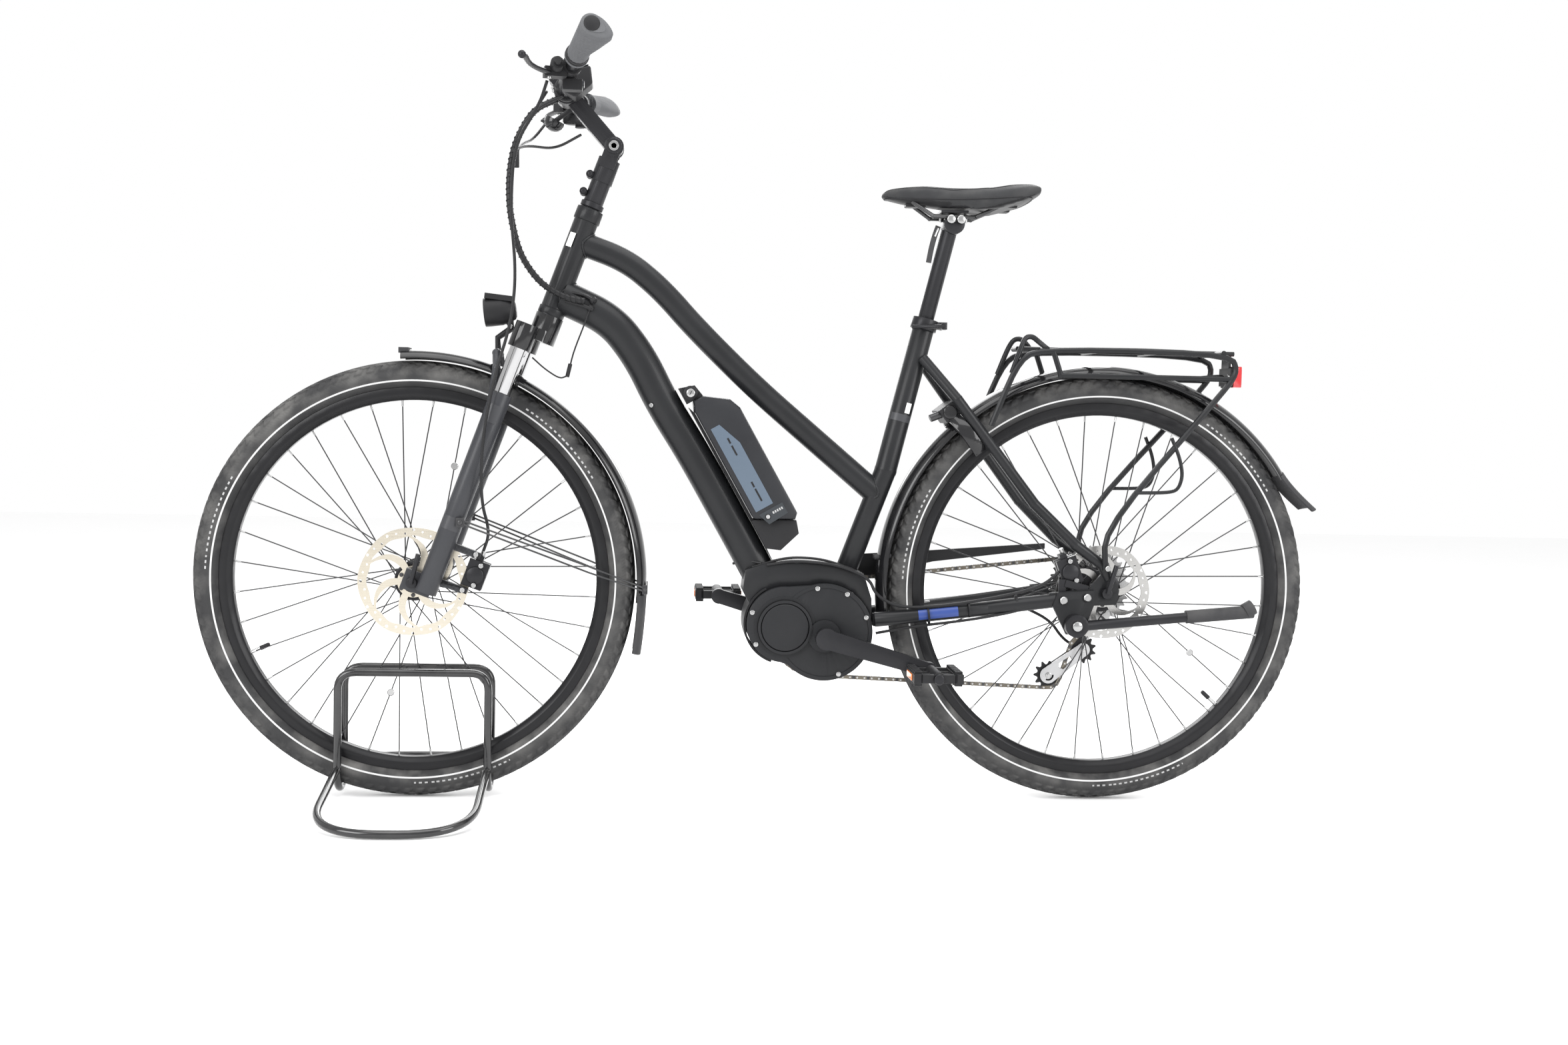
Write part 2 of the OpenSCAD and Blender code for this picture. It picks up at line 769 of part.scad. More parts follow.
module seat_stays() color("#1a1b1d") {
  difference() {
    both_sides()
      bent_rod(stay_path, seat_stay_d);
    rod(seat_bend, on_seat(900), seat_tube_d);
    both_sides()
      slab(-rear_old - 7, -rear_old)
        polygon([
          [rear_x - 96, 338], [rear_x + 22, 340], [rear_x + 22, 366],
          [rear_x + 14, 386], [rear_x - 10, 392], [rear_x - 30, 368]
        ]);
  }
}
module rear_caliper() color("#232427") {
  difference() {
    union() {
      translate([rear_x - 82, rear_disc_y - 15, 374])
        cube([46, 26, 40]);
      translate([rear_x - 80, rear_disc_y - 18, 352])
        cube([12, 7, 34]);
    }
    axle(rear_x, tyre_r, rear_disc_y - 2, rear_disc_y + 2, rear_disc_d + 4);
    axle(rear_x, tyre_r, rear_disc_y + 1, 0, rear_disc_d - 40);
    bent_rod([chain_stay_path[0], chain_stay_path[1], chain_stay_path[2]], chain_stay_d);
    slab(-rear_old - 7, -rear_old)
      translate([rear_x - 96, 330])
        square([110, 36]);
  }
}

// ---- Battery on the down tube
down_dir = unit(down_path[5] - down_path[4]);
up_dir = [-down_dir[2], 0, down_dir[0]];
batt_at = mix(down_path[4], down_path[5], 0.5);
// Point given by its distance down the tube and above the tube's top face
function on_down(u, h) = let (p = batt_at + down_dir * u + up_dir * (down_tube_h / 2 + h)) [p[0], p[2]];
module battery() color("#18191b") {
  slab(-battery_w / 2, battery_w / 2)
    polygon([
      on_down(-130, 5), on_down(-146, 12), on_down(-146, 30), on_down(-120, battery_t - 8),
      on_down(-100, battery_t), on_down(98, battery_t), on_down(106, battery_t - 8), on_down(72, 5)
    ]);
}
module battery_dock() color("#1d1e20") {
  slab(-26, 26)
    polygon([on_down(-140, 0.2), on_down(-126, 4.6), on_down(71, 4.6), on_down(150, 0.2)]);
  difference() {
    slab(-36, 36)
      polygon([
        on_down(74, 0.5), on_down(74.4, 5), on_down(108.6, 67),
        on_down(130, 60), on_down(140, 20), on_down(126, 0.5)
      ]);
    slab(-60, 60)
      bracket_outline(0);
  }
  difference() {
    slab(-30, 30)
      polygon([on_down(-146.4, 0.5), on_down(-146.4, 30), on_down(-168, 26), on_down(-176, 0.5)]);
    axle(on_down(-160, 14)[0], on_down(-160, 14)[1], -40, 0, 14 + 2 * run);
  }
}
module battery_key() color("#b9bbbd") {
  axle(on_down(-160, 14)[0], on_down(-160, 14)[1], -33, -0.5, 14);
}

// ---- Chain drive
crank_dir = [cos(crank_angle), 0, -sin(crank_angle)];
pedal_at = bb + crank_l * crank_dir;
far_pedal_at = bb - crank_l * crank_dir;
module crank_arm(y0, y1, dir) {
  slab(y0, y1)
    translate([bb[0], bb[2]])
      rotate(atan2(dir[2], dir[0])) {
        circle(r = 18);
        translate([crank_l, 0])
          circle(r = 13);
        polygon([[0, 16], [crank_l, 12], [crank_l, -12], [0, -16]]);
      }
}
module crank_set() color("#1f2022") {
  axle(bb[0], bb[2], -84, 84, crank_axle_d);
  crank_arm(-98, -84, crank_dir);
  crank_arm(84, 98, -crank_dir);
  axle(pedal_at[0], pedal_at[2], -106 - pedal_w + 10, -98, 12);
  axle(far_pedal_at[0], far_pedal_at[2], 98, 106 + pedal_w - 10, 12);
}
module chainring() color("#3a3b3d") {
  root = pitch_r(ring_teeth) - chain_h / 2 - 0.3;
  difference() {
    union() {
      slab(chain_y - 1.5, chain_y + 1.5)
        translate([bb[0], bb[2]])
          difference() {
            circle(r = root, $fn = 120);
            circle(r = root - 14, $fn = 96);
          }
      slab(chain_y - 1.5, chain_y + 3)
        translate([bb[0], bb[2]])
          for (a = [0 : 72 : 288])
            rotate(a)
              translate([8, -8])
                square([root - 16, 16]);
      axle(bb[0], bb[2], chain_y - 4, chain_y + 6, 40);
    }
    axle(bb[0], bb[2], 0, 90, crank_axle_d);
  }
}
module pedal(at) {
  difference() {
    slab(-100 - pedal_w, -102)
      translate([at[0] - pedal_l / 2, at[2] - 13])
        square([pedal_l, 26]);
    translate([at[0] - pedal_l / 2 + 10, -96 - pedal_w, at[2] - 20])
      cube([pedal_l / 2 - 20, pedal_w - 14, 40]);
    translate([at[0] + 10, -96 - pedal_w, at[2] - 20])
      cube([pedal_l / 2 - 20, pedal_w - 14, 40]);
    axle(at[0], at[2], -106 - pedal_w + 9, 0, 12 + 2 * run);
  }
}
module pedal_left() color("#232323") pedal(pedal_at);
module pedal_right() color("#232323") mirror([0, 1, 0]) pedal(far_pedal_at);

// Closed chain line round four wheels; each entry is [centre, radius, turning sense]
wheels = [
  [[rear_x, tyre_r], pitch_r(sprocket_teeth), 1],
  [[bb[0], bb[2]], pitch_r(ring_teeth), 1],
  [lower_pulley, pitch_r(pulley_teeth), 1],
  [upper_pulley, pitch_r(pulley_teeth), -1]
];
function heading(a, b) = let (v = b[0] - a[0], k = b[2] * b[1] - a[2] * a[1])
  atan2(v[1], v[0]) - asin(k / norm(v));
function touch(w, h) = w[0] - w[2] * w[1] * [-sin(h), cos(h)];
function turn(h0, h1, sense) = let (d = (h1 - h0) * sense) sense * (d - 360 * floor(d / 360));
function chain_line(off) = [
  for (i = [0 : len(wheels) - 1])
    let (
      w = wheels[i],
      h0 = heading(wheels[(i + len(wheels) - 1) % len(wheels)], w),
      arc = turn(h0, heading(w, wheels[(i + 1) % len(wheels)]), w[2]),
      grown = [w[0], w[1] + off * w[2], w[2]]
    )
      for (k = [0 : 24]) touch(grown, h0 + arc * k / 24)
];
module chain() color("#6a645c") {
  slab(chain_y - chain_w / 2, chain_y + chain_w / 2)
    difference() {
      polygon(chain_line(chain_h / 2));
      polygon(chain_line(-chain_h / 2));
    }
}
module cassette() color("#8c8d8f") {
  first_y = chain_y - 2 * cog_step;
  difference() {
    union() {
      for (i = [0 : len(cogs) - 1])
        axle(rear_x, tyre_r, first_y + i * cog_step - 0.9, first_y + i * cog_step + 0.9,
          2 * (pitch_r(cogs[i]) - chain_h / 2 - 0.3));
      axle(rear_x, tyre_r, first_y - 3, first_y + 7 * cog_step + 1.5, 34);
    }
    axle(rear_x, tyre_r, 0, 90, 28 + 2 * run);
  }
}
module pulley(at) {
  difference() {
    union() {
      axle(at[0], at[1], chain_y - 1.5, chain_y + 1.5, 2 * (pitch_r(pulley_teeth) - chain_h / 2 - 0.4));
      axle(at[0], at[1], chain_y - 4.4, chain_y + 4.4, 14);
    }
    axle(at[0], at[1], 0, 90, 6 + 2 * run);
  }
}
module guide_pulley() color("#1c1c1e") pulley(upper_pulley);
module tension_pulley() color("#1c1c1e") pulley(lower_pulley);
module derailleur() color("#a4a6a8") {
  // cage plates either side of the chain, with the two pulley pins
  for (y = [chain_y - 6.5, chain_y + 4.7])
    slab(y, y + 1.8) {
      translate(upper_pulley)
        circle(r = 12);
      translate(lower_pulley)
        circle(r = 14);
      polygon([
        upper_pulley + [5, 10], lower_pulley + [-8, 11],
        lower_pulley + [4, -13], upper_pulley + [9, -8]
      ]);
    }
  axle(upper_pulley[0], upper_pulley[1], chain_y - 6.5, chain_y + 6.5, 6);
  axle(lower_pulley[0], lower_pulley[1], chain_y - 6.5, chain_y + 6.5, 6);
  // body and knuckle up to the hanger on the right dropout
  axle(upper_pulley[0] + 2, upper_pulley[1], chain_y + 6.5, chain_y + 24, 22);
  rod([upper_pulley[0] + 2, chain_y + 18, upper_pulley[1]], [rear_x + 16, 72, 318], 18);
  difference() {
    slab(rear_old, rear_old + 7)
      polygon([[rear_x + 2, 339.8], [rear_x + 17, 341.6], [rear_x + 26, 312], [rear_x + 8, 308]]);
    axle(rear_x, tyre_r, 0, 90, hub_d);
  }
}
module chain_guard() color("#1b1b1d") {
  slab(52, 55)
    polygon([
      [bb[0] + 46, 409], [rear_x - 272, 419], [rear_x - 76, 434], [rear_x - 76, 424],
      [rear_x - 272, 399], [bb[0] + 68, 367], [bb[0] + 40, 380]
    ]);
  slab(37, 52)
    translate([bb[0] + 48, 386])
      square([14, 10]);
}

// ---- Seat
post_top = on_seat(958);
saddle_top_z = 1024;
module seat_collar() color("#c3c5c7") {
  difference() {
    union() {
      rod(on_seat(seat_top_z - 14), on_seat(seat_top_z + 4), seat_tube_d + 7);
      translate(on_seat(seat_top_z - 8) + [20, -10, -5])
        cube([18, 20, 12]);
    }
    rod(on_seat(seat_top_z - 60), on_seat(seat_top_z), seat_tube_d);
    rod(on_seat(seat_top_z - 60), on_seat(seat_top_z + 60), seat_post_d + 2 * run);
    axle(on_seat(seat_top_z - 8)[0] + 31, seat_top_z - 8, -20, 20, 5 + 2 * run);
  }
}
module seat_lever() color("#b4b6b8") {
  p = on_seat(seat_top_z - 8) + [31, 0, 0];
  axle(p[0], p[2], -16, 14, 5);
  axle(p[0], p[2], 10.4, 17, 11);
  axle(p[0], p[2], -17, -10.4, 11);
  rod(p + [0, -16, 0], p + [-56, -37, -3], 7);
}
module seat_post() color("#1b1b1d") {
  rod(on_seat(690), post_top, seat_post_d);
  difference() {
    axle(post_top[0] + 6, post_top[2] + 12, -22, 22, 34);
    both_sides()
      translate([post_top[0] - 40, -24.1, post_top[2] + 17.6])
        cube([100, 8.2, 20]);
    axle(post_top[0] + 6, post_top[2] + 19, -40, 40, 8 + 2 * run);
  }
}
module saddle_frame() color("#4a4b4d") {
  nose = on_seat(958)[0] - 118;
  tilt = post_top + [6, 0, 19];
  axle(tilt[0], tilt[2], -24, 24, 8);
  low = [[tilt[0] - 36, -20, tilt[2] + 4.6], [tilt[0] + 34, -20, tilt[2] + 4.6]];
  both_sides() {
    rod([nose + 52, -14, saddle_top_z - 19], low[0], 6.8);
    rod(low[0], low[1], 7);
    rod(low[1], [tilt[0] + 84, -38, saddle_top_z - 19], 6.8);
    for (p = low)
      translate(p)
        sphere(d = 8);
  }
}
module saddle_pad() color("#313234") {
  nose = on_seat(958)[0] - 118;
  intersection() {
    translate([nose, -saddle_w / 2 - 5, saddle_top_z - 15])
      cube([saddle_l, saddle_w + 10, 27]);
    union() {
      slab(-saddle_w / 2, saddle_w / 2)
        translate([nose, saddle_top_z - 15])
          square([saddle_l, 25]);
    }
    translate([0, 0, saddle_top_z - 30])
      linear_extrude(60)
        polygon([
          [nose, -12], [nose + 8, -20], [nose + 90, -30], [nose + 150, -saddle_w * 0.31],
          [nose + 195, -saddle_w * 0.46], [nose + 230, -saddle_w / 2], [nose + saddle_l - 6, -saddle_w * 0.4],
          [nose + saddle_l, -saddle_w * 0.2], [nose + saddle_l, saddle_w * 0.2],
          [nose + saddle_l - 6, saddle_w * 0.4], [nose + 230, saddle_w / 2], [nose + 195, saddle_w * 0.46],
          [nose + 150, saddle_w * 0.31], [nose + 90, 30], [nose + 8, 20], [nose, 12]
        ]);
  }
}

// ---- Rack, lock and lamp
rack_z = 765;
rack_y = rack_w / 2;
module rack() color("#161618") {
  both_sides() {
    swept(rounded([
      [rear_x - 200, -stay_path[1][1] * -1 - 14, 636], [rear_x - 158, -rack_y + 2, 745],
      [rear_x - 120, -rack_y, rack_z], [rear_x + 200, -rack_y, rack_z], [rear_x + 215, -rack_y, 735],
      [rear_x + 190, -rack_y - 2, 700], [rear_x - 10, -rear_old - 17.6, 470],
      [rear_x - 6, -rear_old - 17.6, 400]
    ], 4), rack_d, rack_d, 10);
    rod([rear_x - 90, -rack_y, 722], [rear_x + 208, -rack_y, 722], rack_d - 1);
    rod([rear_x - 100, -rack_y, 762], [rear_x - 86, -rack_y, 722], rack_d - 1);
  }
  for (x = [rear_x - 110, rear_x - 20, rear_x + 80, rear_x + 190])
    rod([x, -rack_y + 1, rack_z], [x, rack_y - 1, rack_z], rack_d - 1);
  for (y = [-18, 18])
    rod([rear_x - 150, y, rack_z + 1], [rear_x + 222, y, rack_z + 1], rack_d - 2);
  rod([rear_x - 150, -18, rack_z + 1], [rear_x - 150, 18, rack_z + 1], rack_d - 2);
  slab(-18, 18)
    translate([rear_x + 214, rack_z - 24])
      square([4, 26]);
}
module tail_lamp() color("#a0141a") {
  translate([rear_x + 218, -32, rack_z - 56])
    cube([15, 64, 36]);
}
// The lock's hoop lies along the seat stays, on their front side
lock_dir = unit([stay_path[1][0] - stay_path[2][0], 0, stay_path[1][2] - stay_path[2][2]]);
lock_mid = mix(stay_path[1], stay_path[2], 0.29) - [0, mix(stay_path[1], stay_path[2], 0.29)[1], 0]
  + [-lock_dir[2], 0, lock_dir[0]] * (seat_stay_d / 2 + 11.4);
module ring_lock() color("#1a1a1c") {
  translate(lock_mid)
    rotate([0, -atan2(lock_dir[2], lock_dir[0]), 0])
      rotate([0, 0, 235])
        rotate_extrude(angle = 250)
          translate([47, -11])
            square([10, 22]);
}
// Bracket bolted to the left dropout, with the kickstand's pivot pin
module kickstand_bracket() {
  difference() {
    slab(-rear_old - 14, -rear_old - 7)
      polygon([[rear_x - 92, 339], [rear_x - 22, 341], [rear_x - 22, 366], [rear_x - 84, 362]]);
    axle(rear_x - 74, 349, -100, 0, 6);
    axle(rear_x - 34, 354, -100, 0, 6);
  }
  slab(-rear_old - 14, -rear_old - 7)
    polygon([[rear_x - 92, 339], [rear_x - 22, 341], [rear_x - 40, 292], [rear_x - 68, 292]]);
  axle(rear_x - 54, 308, -rear_old - 34, -rear_old - 14, 14);
}
module kickstand_leg() color("#161618") {
  p = [rear_x - 54, -rear_old - 24, 308];
  q = p + [kickstand_l, -4, 28];
  difference() {
    union() {
      axle(p[0], p[2], p[1] - 9, p[1] + 9, 38);
      rod(p + [14, 0, 0], q, 17);
      rod(mix(p, q, 0.62), q, 22);
      rod(q - [14, 0, 0], q + [0, 0, 8], 26);
    }
    axle(p[0], p[2], -140, 0, 14 + 2 * run);
  }
}

// ---- Cables
module cable_loom() color("#101011") swept(rounded(loom_path, 4), 11, 11, 8, [0, 1, 0]);
module front_hose() color("#101011") swept(rounded(hose_path, 4), 5, 5, 8, [0, 0, 1]);

// ---- Floor stand
// Round tube along a closed path
module loop_tube(path, d, sides) {
  n = len(path);
  points = [
    for (i = [0 : n - 1])
      let (
        t = unit(path[(i + 1) % n] - path[(i + n - 1) % n]),
        s = unit(cross(t, [1, 1, 1])),
        up = cross(t, s)
      )
        for (k = [0 : sides - 1])
          path[i] + (s * cos(360 * k / sides) + up * sin(360 * k / sides)) * d / 2
  ];
  polyhedron(points, [
    for (i = [0 : n - 1])
      for (k = [0 : sides - 1])
        for (half = [0, 1])
          let (
            a = i * sides + k,
            b = i * sides + (k + 1) % sides,
            c = ((i + 1) % n) * sides + k,
            e = ((i + 1) % n) * sides + (k + 1) % sides
          )
            half == 0 ? [a, c, b] : [b, c, e]
  ]);
}
hoop_top = hoop_h - stand_d / 2;
// One end of the cradle: up over a corner of each hoop and under the tyre between them
function hoop_corner(dir, y) = [for (k = [0 : 5])
  curve([dir * (hoop_l / 2 - 30), y, hoop_top], [dir * hoop_l / 2, y, hoop_top],
    [dir * hoop_l / 2, y, hoop_top - 30], k / 5)];
function under_bend(dir) = [for (k = [0 : 12])
  [dir * hoop_l / 2, -hoop_y * cos(15 * k), knee_z - hoop_y * sin(15 * k)]];
function reversed(p) = [for (i = [len(p) - 1 : -1 : 0]) p[i]];
cradle_path = concat(
  hoop_corner(1, -hoop_y), under_bend(1), reversed(hoop_corner(1, hoop_y)),
  hoop_corner(-1, hoop_y), reversed(under_bend(-1)), reversed(hoop_corner(-1, -hoop_y))
);
floor_y = stand_w / 2 - stand_d / 2;
module floor_stand() color("#0e0e10") {
  translate([front_x, 0, 0]) {
    loop_tube(cradle_path, stand_d, 12);
    both_sides()
      swept(rounded([
        [-hoop_l / 2, -hoop_y - stand_d / 2 - 0.3, knee_z + 2], [-hoop_l / 2, -hoop_y - 24, knee_z + 2],
        [-hoop_l / 2, -floor_y, stand_d / 2], [hoop_l / 2, -floor_y, stand_d / 2],
        [hoop_l / 2, -hoop_y - 24, knee_z + 2], [hoop_l / 2, -hoop_y - stand_d / 2 - 0.3, knee_z + 2]
      ], 5), stand_d, stand_d, 12, [1, 0, 0]);
  }
}

head_tube();
top_tube();
down_tube();
seat_tube();
motor_bracket();
chain_stays();
seat_stays();
motor_housing();
battery_dock();
battery();
battery_key();
rear_mudguard();
rack();
tail_lamp();
ring_lock();
chain_guard();
rear_caliper();
rear_axle();
derailleur();
chain();
cable_loom();
front_hose();
seat_collar();
seat_lever();
seat_post();
saddle_frame();
saddle_pad();
kickstand_leg();
crank_set();
chainring();
pedal_left();
pedal_right();
cassette();
guide_pulley();
tension_pulley();
rear_hub();
rear_rim();
rear_tyre();
rear_spokes();
rear_disc();
fork_crown();
stem_base();
stem_arm();
handlebar();
grips();
controls();
brake_lever_left();
brake_lever_right();
shift_lever();
fork_lowers();
front_mudguard();
headlamp();
front_caliper();
front_axle();
front_hub();
front_rim();
front_tyre();
front_spokes();
front_disc();
floor_stand();
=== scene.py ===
import math

import bmesh
import bpy
import numpy as np
from mathutils import Matrix, Vector
from mathutils.geometry import tessellate_polygon


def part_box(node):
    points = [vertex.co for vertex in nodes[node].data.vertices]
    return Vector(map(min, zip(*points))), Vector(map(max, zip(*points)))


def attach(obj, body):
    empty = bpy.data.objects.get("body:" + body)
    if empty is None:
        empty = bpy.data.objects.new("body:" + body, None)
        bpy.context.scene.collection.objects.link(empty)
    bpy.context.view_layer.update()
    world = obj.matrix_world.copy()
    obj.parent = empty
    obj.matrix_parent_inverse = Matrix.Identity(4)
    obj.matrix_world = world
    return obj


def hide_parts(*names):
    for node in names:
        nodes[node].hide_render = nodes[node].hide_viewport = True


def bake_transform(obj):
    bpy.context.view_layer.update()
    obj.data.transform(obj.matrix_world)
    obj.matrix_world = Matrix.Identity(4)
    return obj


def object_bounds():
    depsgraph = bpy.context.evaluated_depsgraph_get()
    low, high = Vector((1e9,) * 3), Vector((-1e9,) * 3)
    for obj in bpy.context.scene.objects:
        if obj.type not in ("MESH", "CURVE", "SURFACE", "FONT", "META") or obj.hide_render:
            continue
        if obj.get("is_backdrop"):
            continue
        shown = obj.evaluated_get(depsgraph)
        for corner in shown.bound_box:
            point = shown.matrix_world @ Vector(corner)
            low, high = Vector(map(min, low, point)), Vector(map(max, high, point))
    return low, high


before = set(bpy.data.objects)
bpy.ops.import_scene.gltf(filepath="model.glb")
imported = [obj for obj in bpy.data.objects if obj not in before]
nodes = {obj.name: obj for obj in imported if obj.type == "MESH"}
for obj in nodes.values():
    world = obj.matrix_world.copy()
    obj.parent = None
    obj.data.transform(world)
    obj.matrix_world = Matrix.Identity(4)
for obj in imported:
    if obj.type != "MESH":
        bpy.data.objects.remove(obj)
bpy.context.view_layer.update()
scene = bpy.context.scene
mm = 0.001

# Main points of the bicycle, in millimetres
bike = {
    "frontX": -584, "rearX": 560, "axleZ": 361, "crank": (91, 281), "steerX": -662.18,
    "lean": math.radians(20), "seatAngle": math.radians(76.5), "hubS": 365.97, "guardR": 380,
    "chainY": 44, "lowerPulley": (494, 205), "upperPulley": (554, 250),
}
frontX, rearX, axleZ = bike["frontX"], bike["rearX"], bike["axleZ"]
crankX, crankZ = bike["crank"]


def steered(p, y, s):
    a = bike["lean"]
    return Vector((bike["steerX"] + p * math.cos(a) + s * math.sin(a), y, s * math.cos(a) - p * math.sin(a)))


def onSeat(z, y=0):
    return Vector((rearX - 366 + (z - 557) / math.tan(bike["seatAngle"]), y, z))


def onDown(u, h, y=0):
    a, b = Vector((crankX - 220, 577)), Vector((crankX - 153, 460))
    d = (b - a).normalized()
    p = (a + b) / 2 + d * u + Vector((-d.y, d.x)) * (29 + h)
    return Vector((p.x, y, p.y))


pivot = steered(0, 0, 1147)
barMid = pivot + Vector((-77, 0, 86))
barBend = barMid + Vector((4, -110, 5))
barEnd = barMid + Vector((49, -325, 40))


def alongBar(y):
    return barBend.lerp(barEnd, (y - 110) / 215)


def flip(p):
    return Vector((p[0], -p[1], p[2]))


def rounded(path, n=10, reach=0.45):
    path = [Vector(p) for p in path]
    out = [path[0]]
    for i in range(1, len(path) - 1):
        a, b, c = path[i].lerp(path[i - 1], reach), path[i], path[i].lerp(path[i + 1], reach)
        for k in range(n + 1):
            t = k / n
            out.append(a.lerp(b, t).lerp(b.lerp(c, t), t))
    return out + [path[-1]]


# Camera and light
cameraSettings = {"place": (-0.2074, -2.7920, 0.6452), "azimuth": -4.74, "elevation": 3.67, "roll": 1.29,
    "lens": 38.31}


def addCamera(c):
    az, el, roll = (math.radians(c[k]) for k in ("azimuth", "elevation", "roll"))
    back = Vector((math.sin(az) * math.cos(el), -math.cos(az) * math.cos(el), math.sin(el)))
    right = (-back).cross(Vector((0, 0, 1))).normalized()
    up = right.cross(-back)
    sideways = right * math.cos(roll) + up * math.sin(roll)
    upward = up * math.cos(roll) - right * math.sin(roll)
    data = bpy.data.cameras.new("camera")
    data.lens, data.sensor_width = c["lens"], 36
    data.clip_start, data.clip_end = 0.05, 60
    obj = bpy.data.objects.new("camera", data)
    scene.collection.objects.link(obj)
    obj.matrix_world = Matrix.Translation(c["place"]) @ Matrix((sideways, upward, back)).transposed().to_4x4()
    scene.camera = obj


addCamera(cameraSettings)

lightSettings = {
    "overhead": {"place": (0.1, -0.7, 3.4), "aim": (0, 0, 0.4), "size": 3.2, "watts": 95},
    "leftBox": {"place": (-2.6, -2.4, 1.9), "aim": (-0.1, 0, 0.5), "size": 1.9, "watts": 75},
    "rightBox": {"place": (2.7, -2.2, 1.5), "aim": (0.2, 0, 0.5), "size": 1.7, "watts": 55},
    "backBox": {"place": (0.2, 2.9, 2.2), "aim": (0, 0, 0.5), "size": 2.6, "watts": 80},
}
for name, s in lightSettings.items():
    data = bpy.data.lights.new(name, "AREA")
    data.shape, data.size, data.energy = "SQUARE", s["size"], s["watts"]
    obj = bpy.data.objects.new(name, data)
    obj.location = s["place"]
    obj.rotation_euler = (Vector(s["aim"]) - Vector(s["place"])).to_track_quat("-Z", "Y").to_euler()
    scene.collection.objects.link(obj)
world = bpy.data.worlds.new("studio")
scene.world = world
world.use_nodes = True
world.node_tree.nodes["Background"].inputs[0].default_value = (1, 1, 1, 1)
world.node_tree.nodes["Background"].inputs[1].default_value = 1.0
scene.view_settings.view_transform = "Standard"
print("camera and light set")

# Surface effects shared by the materials


def newGroup(name, inputs, outputs):
    g = bpy.data.node_groups.new(name, "ShaderNodeTree")
    for label, kind, value in inputs:
        sock = g.interface.new_socket(name=label, in_out="INPUT", socket_type=kind)
        sock.default_value = value
    for label, kind in outputs:
        g.interface.new_socket(name=label, in_out="OUTPUT", socket_type=kind)
    return g, g.nodes.new("NodeGroupInput"), g.nodes.new("NodeGroupOutput")


def mathNode(tree, what, a, b, clamp=False):
    n = tree.nodes.new("ShaderNodeMath")
    n.operation, n.use_clamp = what, clamp
    for i, v in enumerate((a, b)):
        if isinstance(v, (int, float)):
            n.inputs[i].default_value = v
        else:
            tree.links.new(v, n.inputs[i])
    return n.outputs[0]


def mixColour(tree, factor, a, b, how="MIX"):
    n = tree.nodes.new("ShaderNodeMix")
    n.data_type, n.blend_type = "RGBA", how
    for sock, v in ((n.inputs[0], factor), (n.inputs[6], a), (n.inputs[7], b)):
        if hasattr(v, "links"):
            tree.links.new(v, sock)
        else:
            sock.default_value = v
    return n.outputs[2]


def makeToneGroup():
    # slow drift of tone and gloss, with fine speckle
    g, gin, gout = newGroup("toneDrift", [
        ("Colour", "NodeSocketColor", (0.1, 0.1, 0.1, 1)),
            ("Light Colour", "NodeSocketColor", (0.2, 0.2, 0.2, 1)),
        ("Amount", "NodeSocketFloat", 0.3), ("Scale", "NodeSocketFloat", 8.0),
        ("Roughness", "NodeSocketFloat", 0.4), ("Spread", "NodeSocketFloat", 0.08),
    ], [("Colour", "NodeSocketColor"), ("Roughness", "NodeSocketFloat"), ("Height", "NodeSocketFloat")])
    place = g.nodes.new("ShaderNodeTexCoord")
    drift, speck = g.nodes.new("ShaderNodeTexNoise"), g.nodes.new("ShaderNodeTexNoise")
    for n in (drift, speck):
        g.links.new(place.outputs["Object"], n.inputs["Vector"])
    g.links.new(gin.outputs["Scale"], drift.inputs["Scale"])
    drift.inputs["Detail"].default_value = 4
    g.links.new(mathNode(g, "MULTIPLY", gin.outputs["Scale"], 60), speck.inputs["Scale"])
    lift = mathNode(g, "MULTIPLY", mathNode(g, "SUBTRACT", drift.outputs[0], 0.35, True),
        gin.outputs["Amount"], True)
    g.links.new(mixColour(g, lift, gin.outputs["Colour"], gin.outputs["Light Colour"]), gout.inputs["Colour"])
    swing = mathNode(g, "MULTIPLY", mathNode(g, "SUBTRACT", drift.outputs[0], 0.5), gin.outputs["Spread"])
    g.links.new(mathNode(g, "ADD", gin.outputs["Roughness"], swing, True), gout.inputs["Roughness"])
    g.links.new(speck.outputs[0], gout.inputs["Height"])
    return g


def makeDustGroup():
    # pale dust that settles on faces that look up
    g, gin, gout = newGroup("settledDust", [
        ("Colour", "NodeSocketColor", (0.1, 0.1, 0.1, 1)),
            ("Dust Colour", "NodeSocketColor", (0.4, 0.39, 0.37, 1)),
        ("Amount", "NodeSocketFloat", 0.2), ("Scale", "NodeSocketFloat", 25.0),
    ], [("Colour", "NodeSocketColor"), ("Mask", "NodeSocketFloat")])
    place, geo, cut = (g.nodes.new(k) for k in ("ShaderNodeTexCoord", "ShaderNodeNewGeometry",
        "ShaderNodeSeparateXYZ"))
    patch = g.nodes.new("ShaderNodeTexNoise")
    g.links.new(place.outputs["Object"], patch.inputs["Vector"])
    g.links.new(gin.outputs["Scale"], patch.inputs["Scale"])
    patch.inputs["Detail"].default_value = 6
    g.links.new(geo.outputs["Normal"], cut.inputs[0])
    up = mathNode(g, "ADD", mathNode(g, "MULTIPLY", cut.outputs["Z"], 0.5), 0.5, True)
    mask = mathNode(g, "MULTIPLY", up, mathNode(g, "MULTIPLY",
        mathNode(g, "SUBTRACT", patch.outputs[0], 0.4, True), 2.5, True))
    mask = mathNode(g, "MULTIPLY", mask, gin.outputs["Amount"], True)
    g.links.new(mixColour(g, mask, gin.outputs["Colour"], gin.outputs["Dust Colour"]), gout.inputs["Colour"])
    g.links.new(mask, gout.inputs["Mask"])
    return g


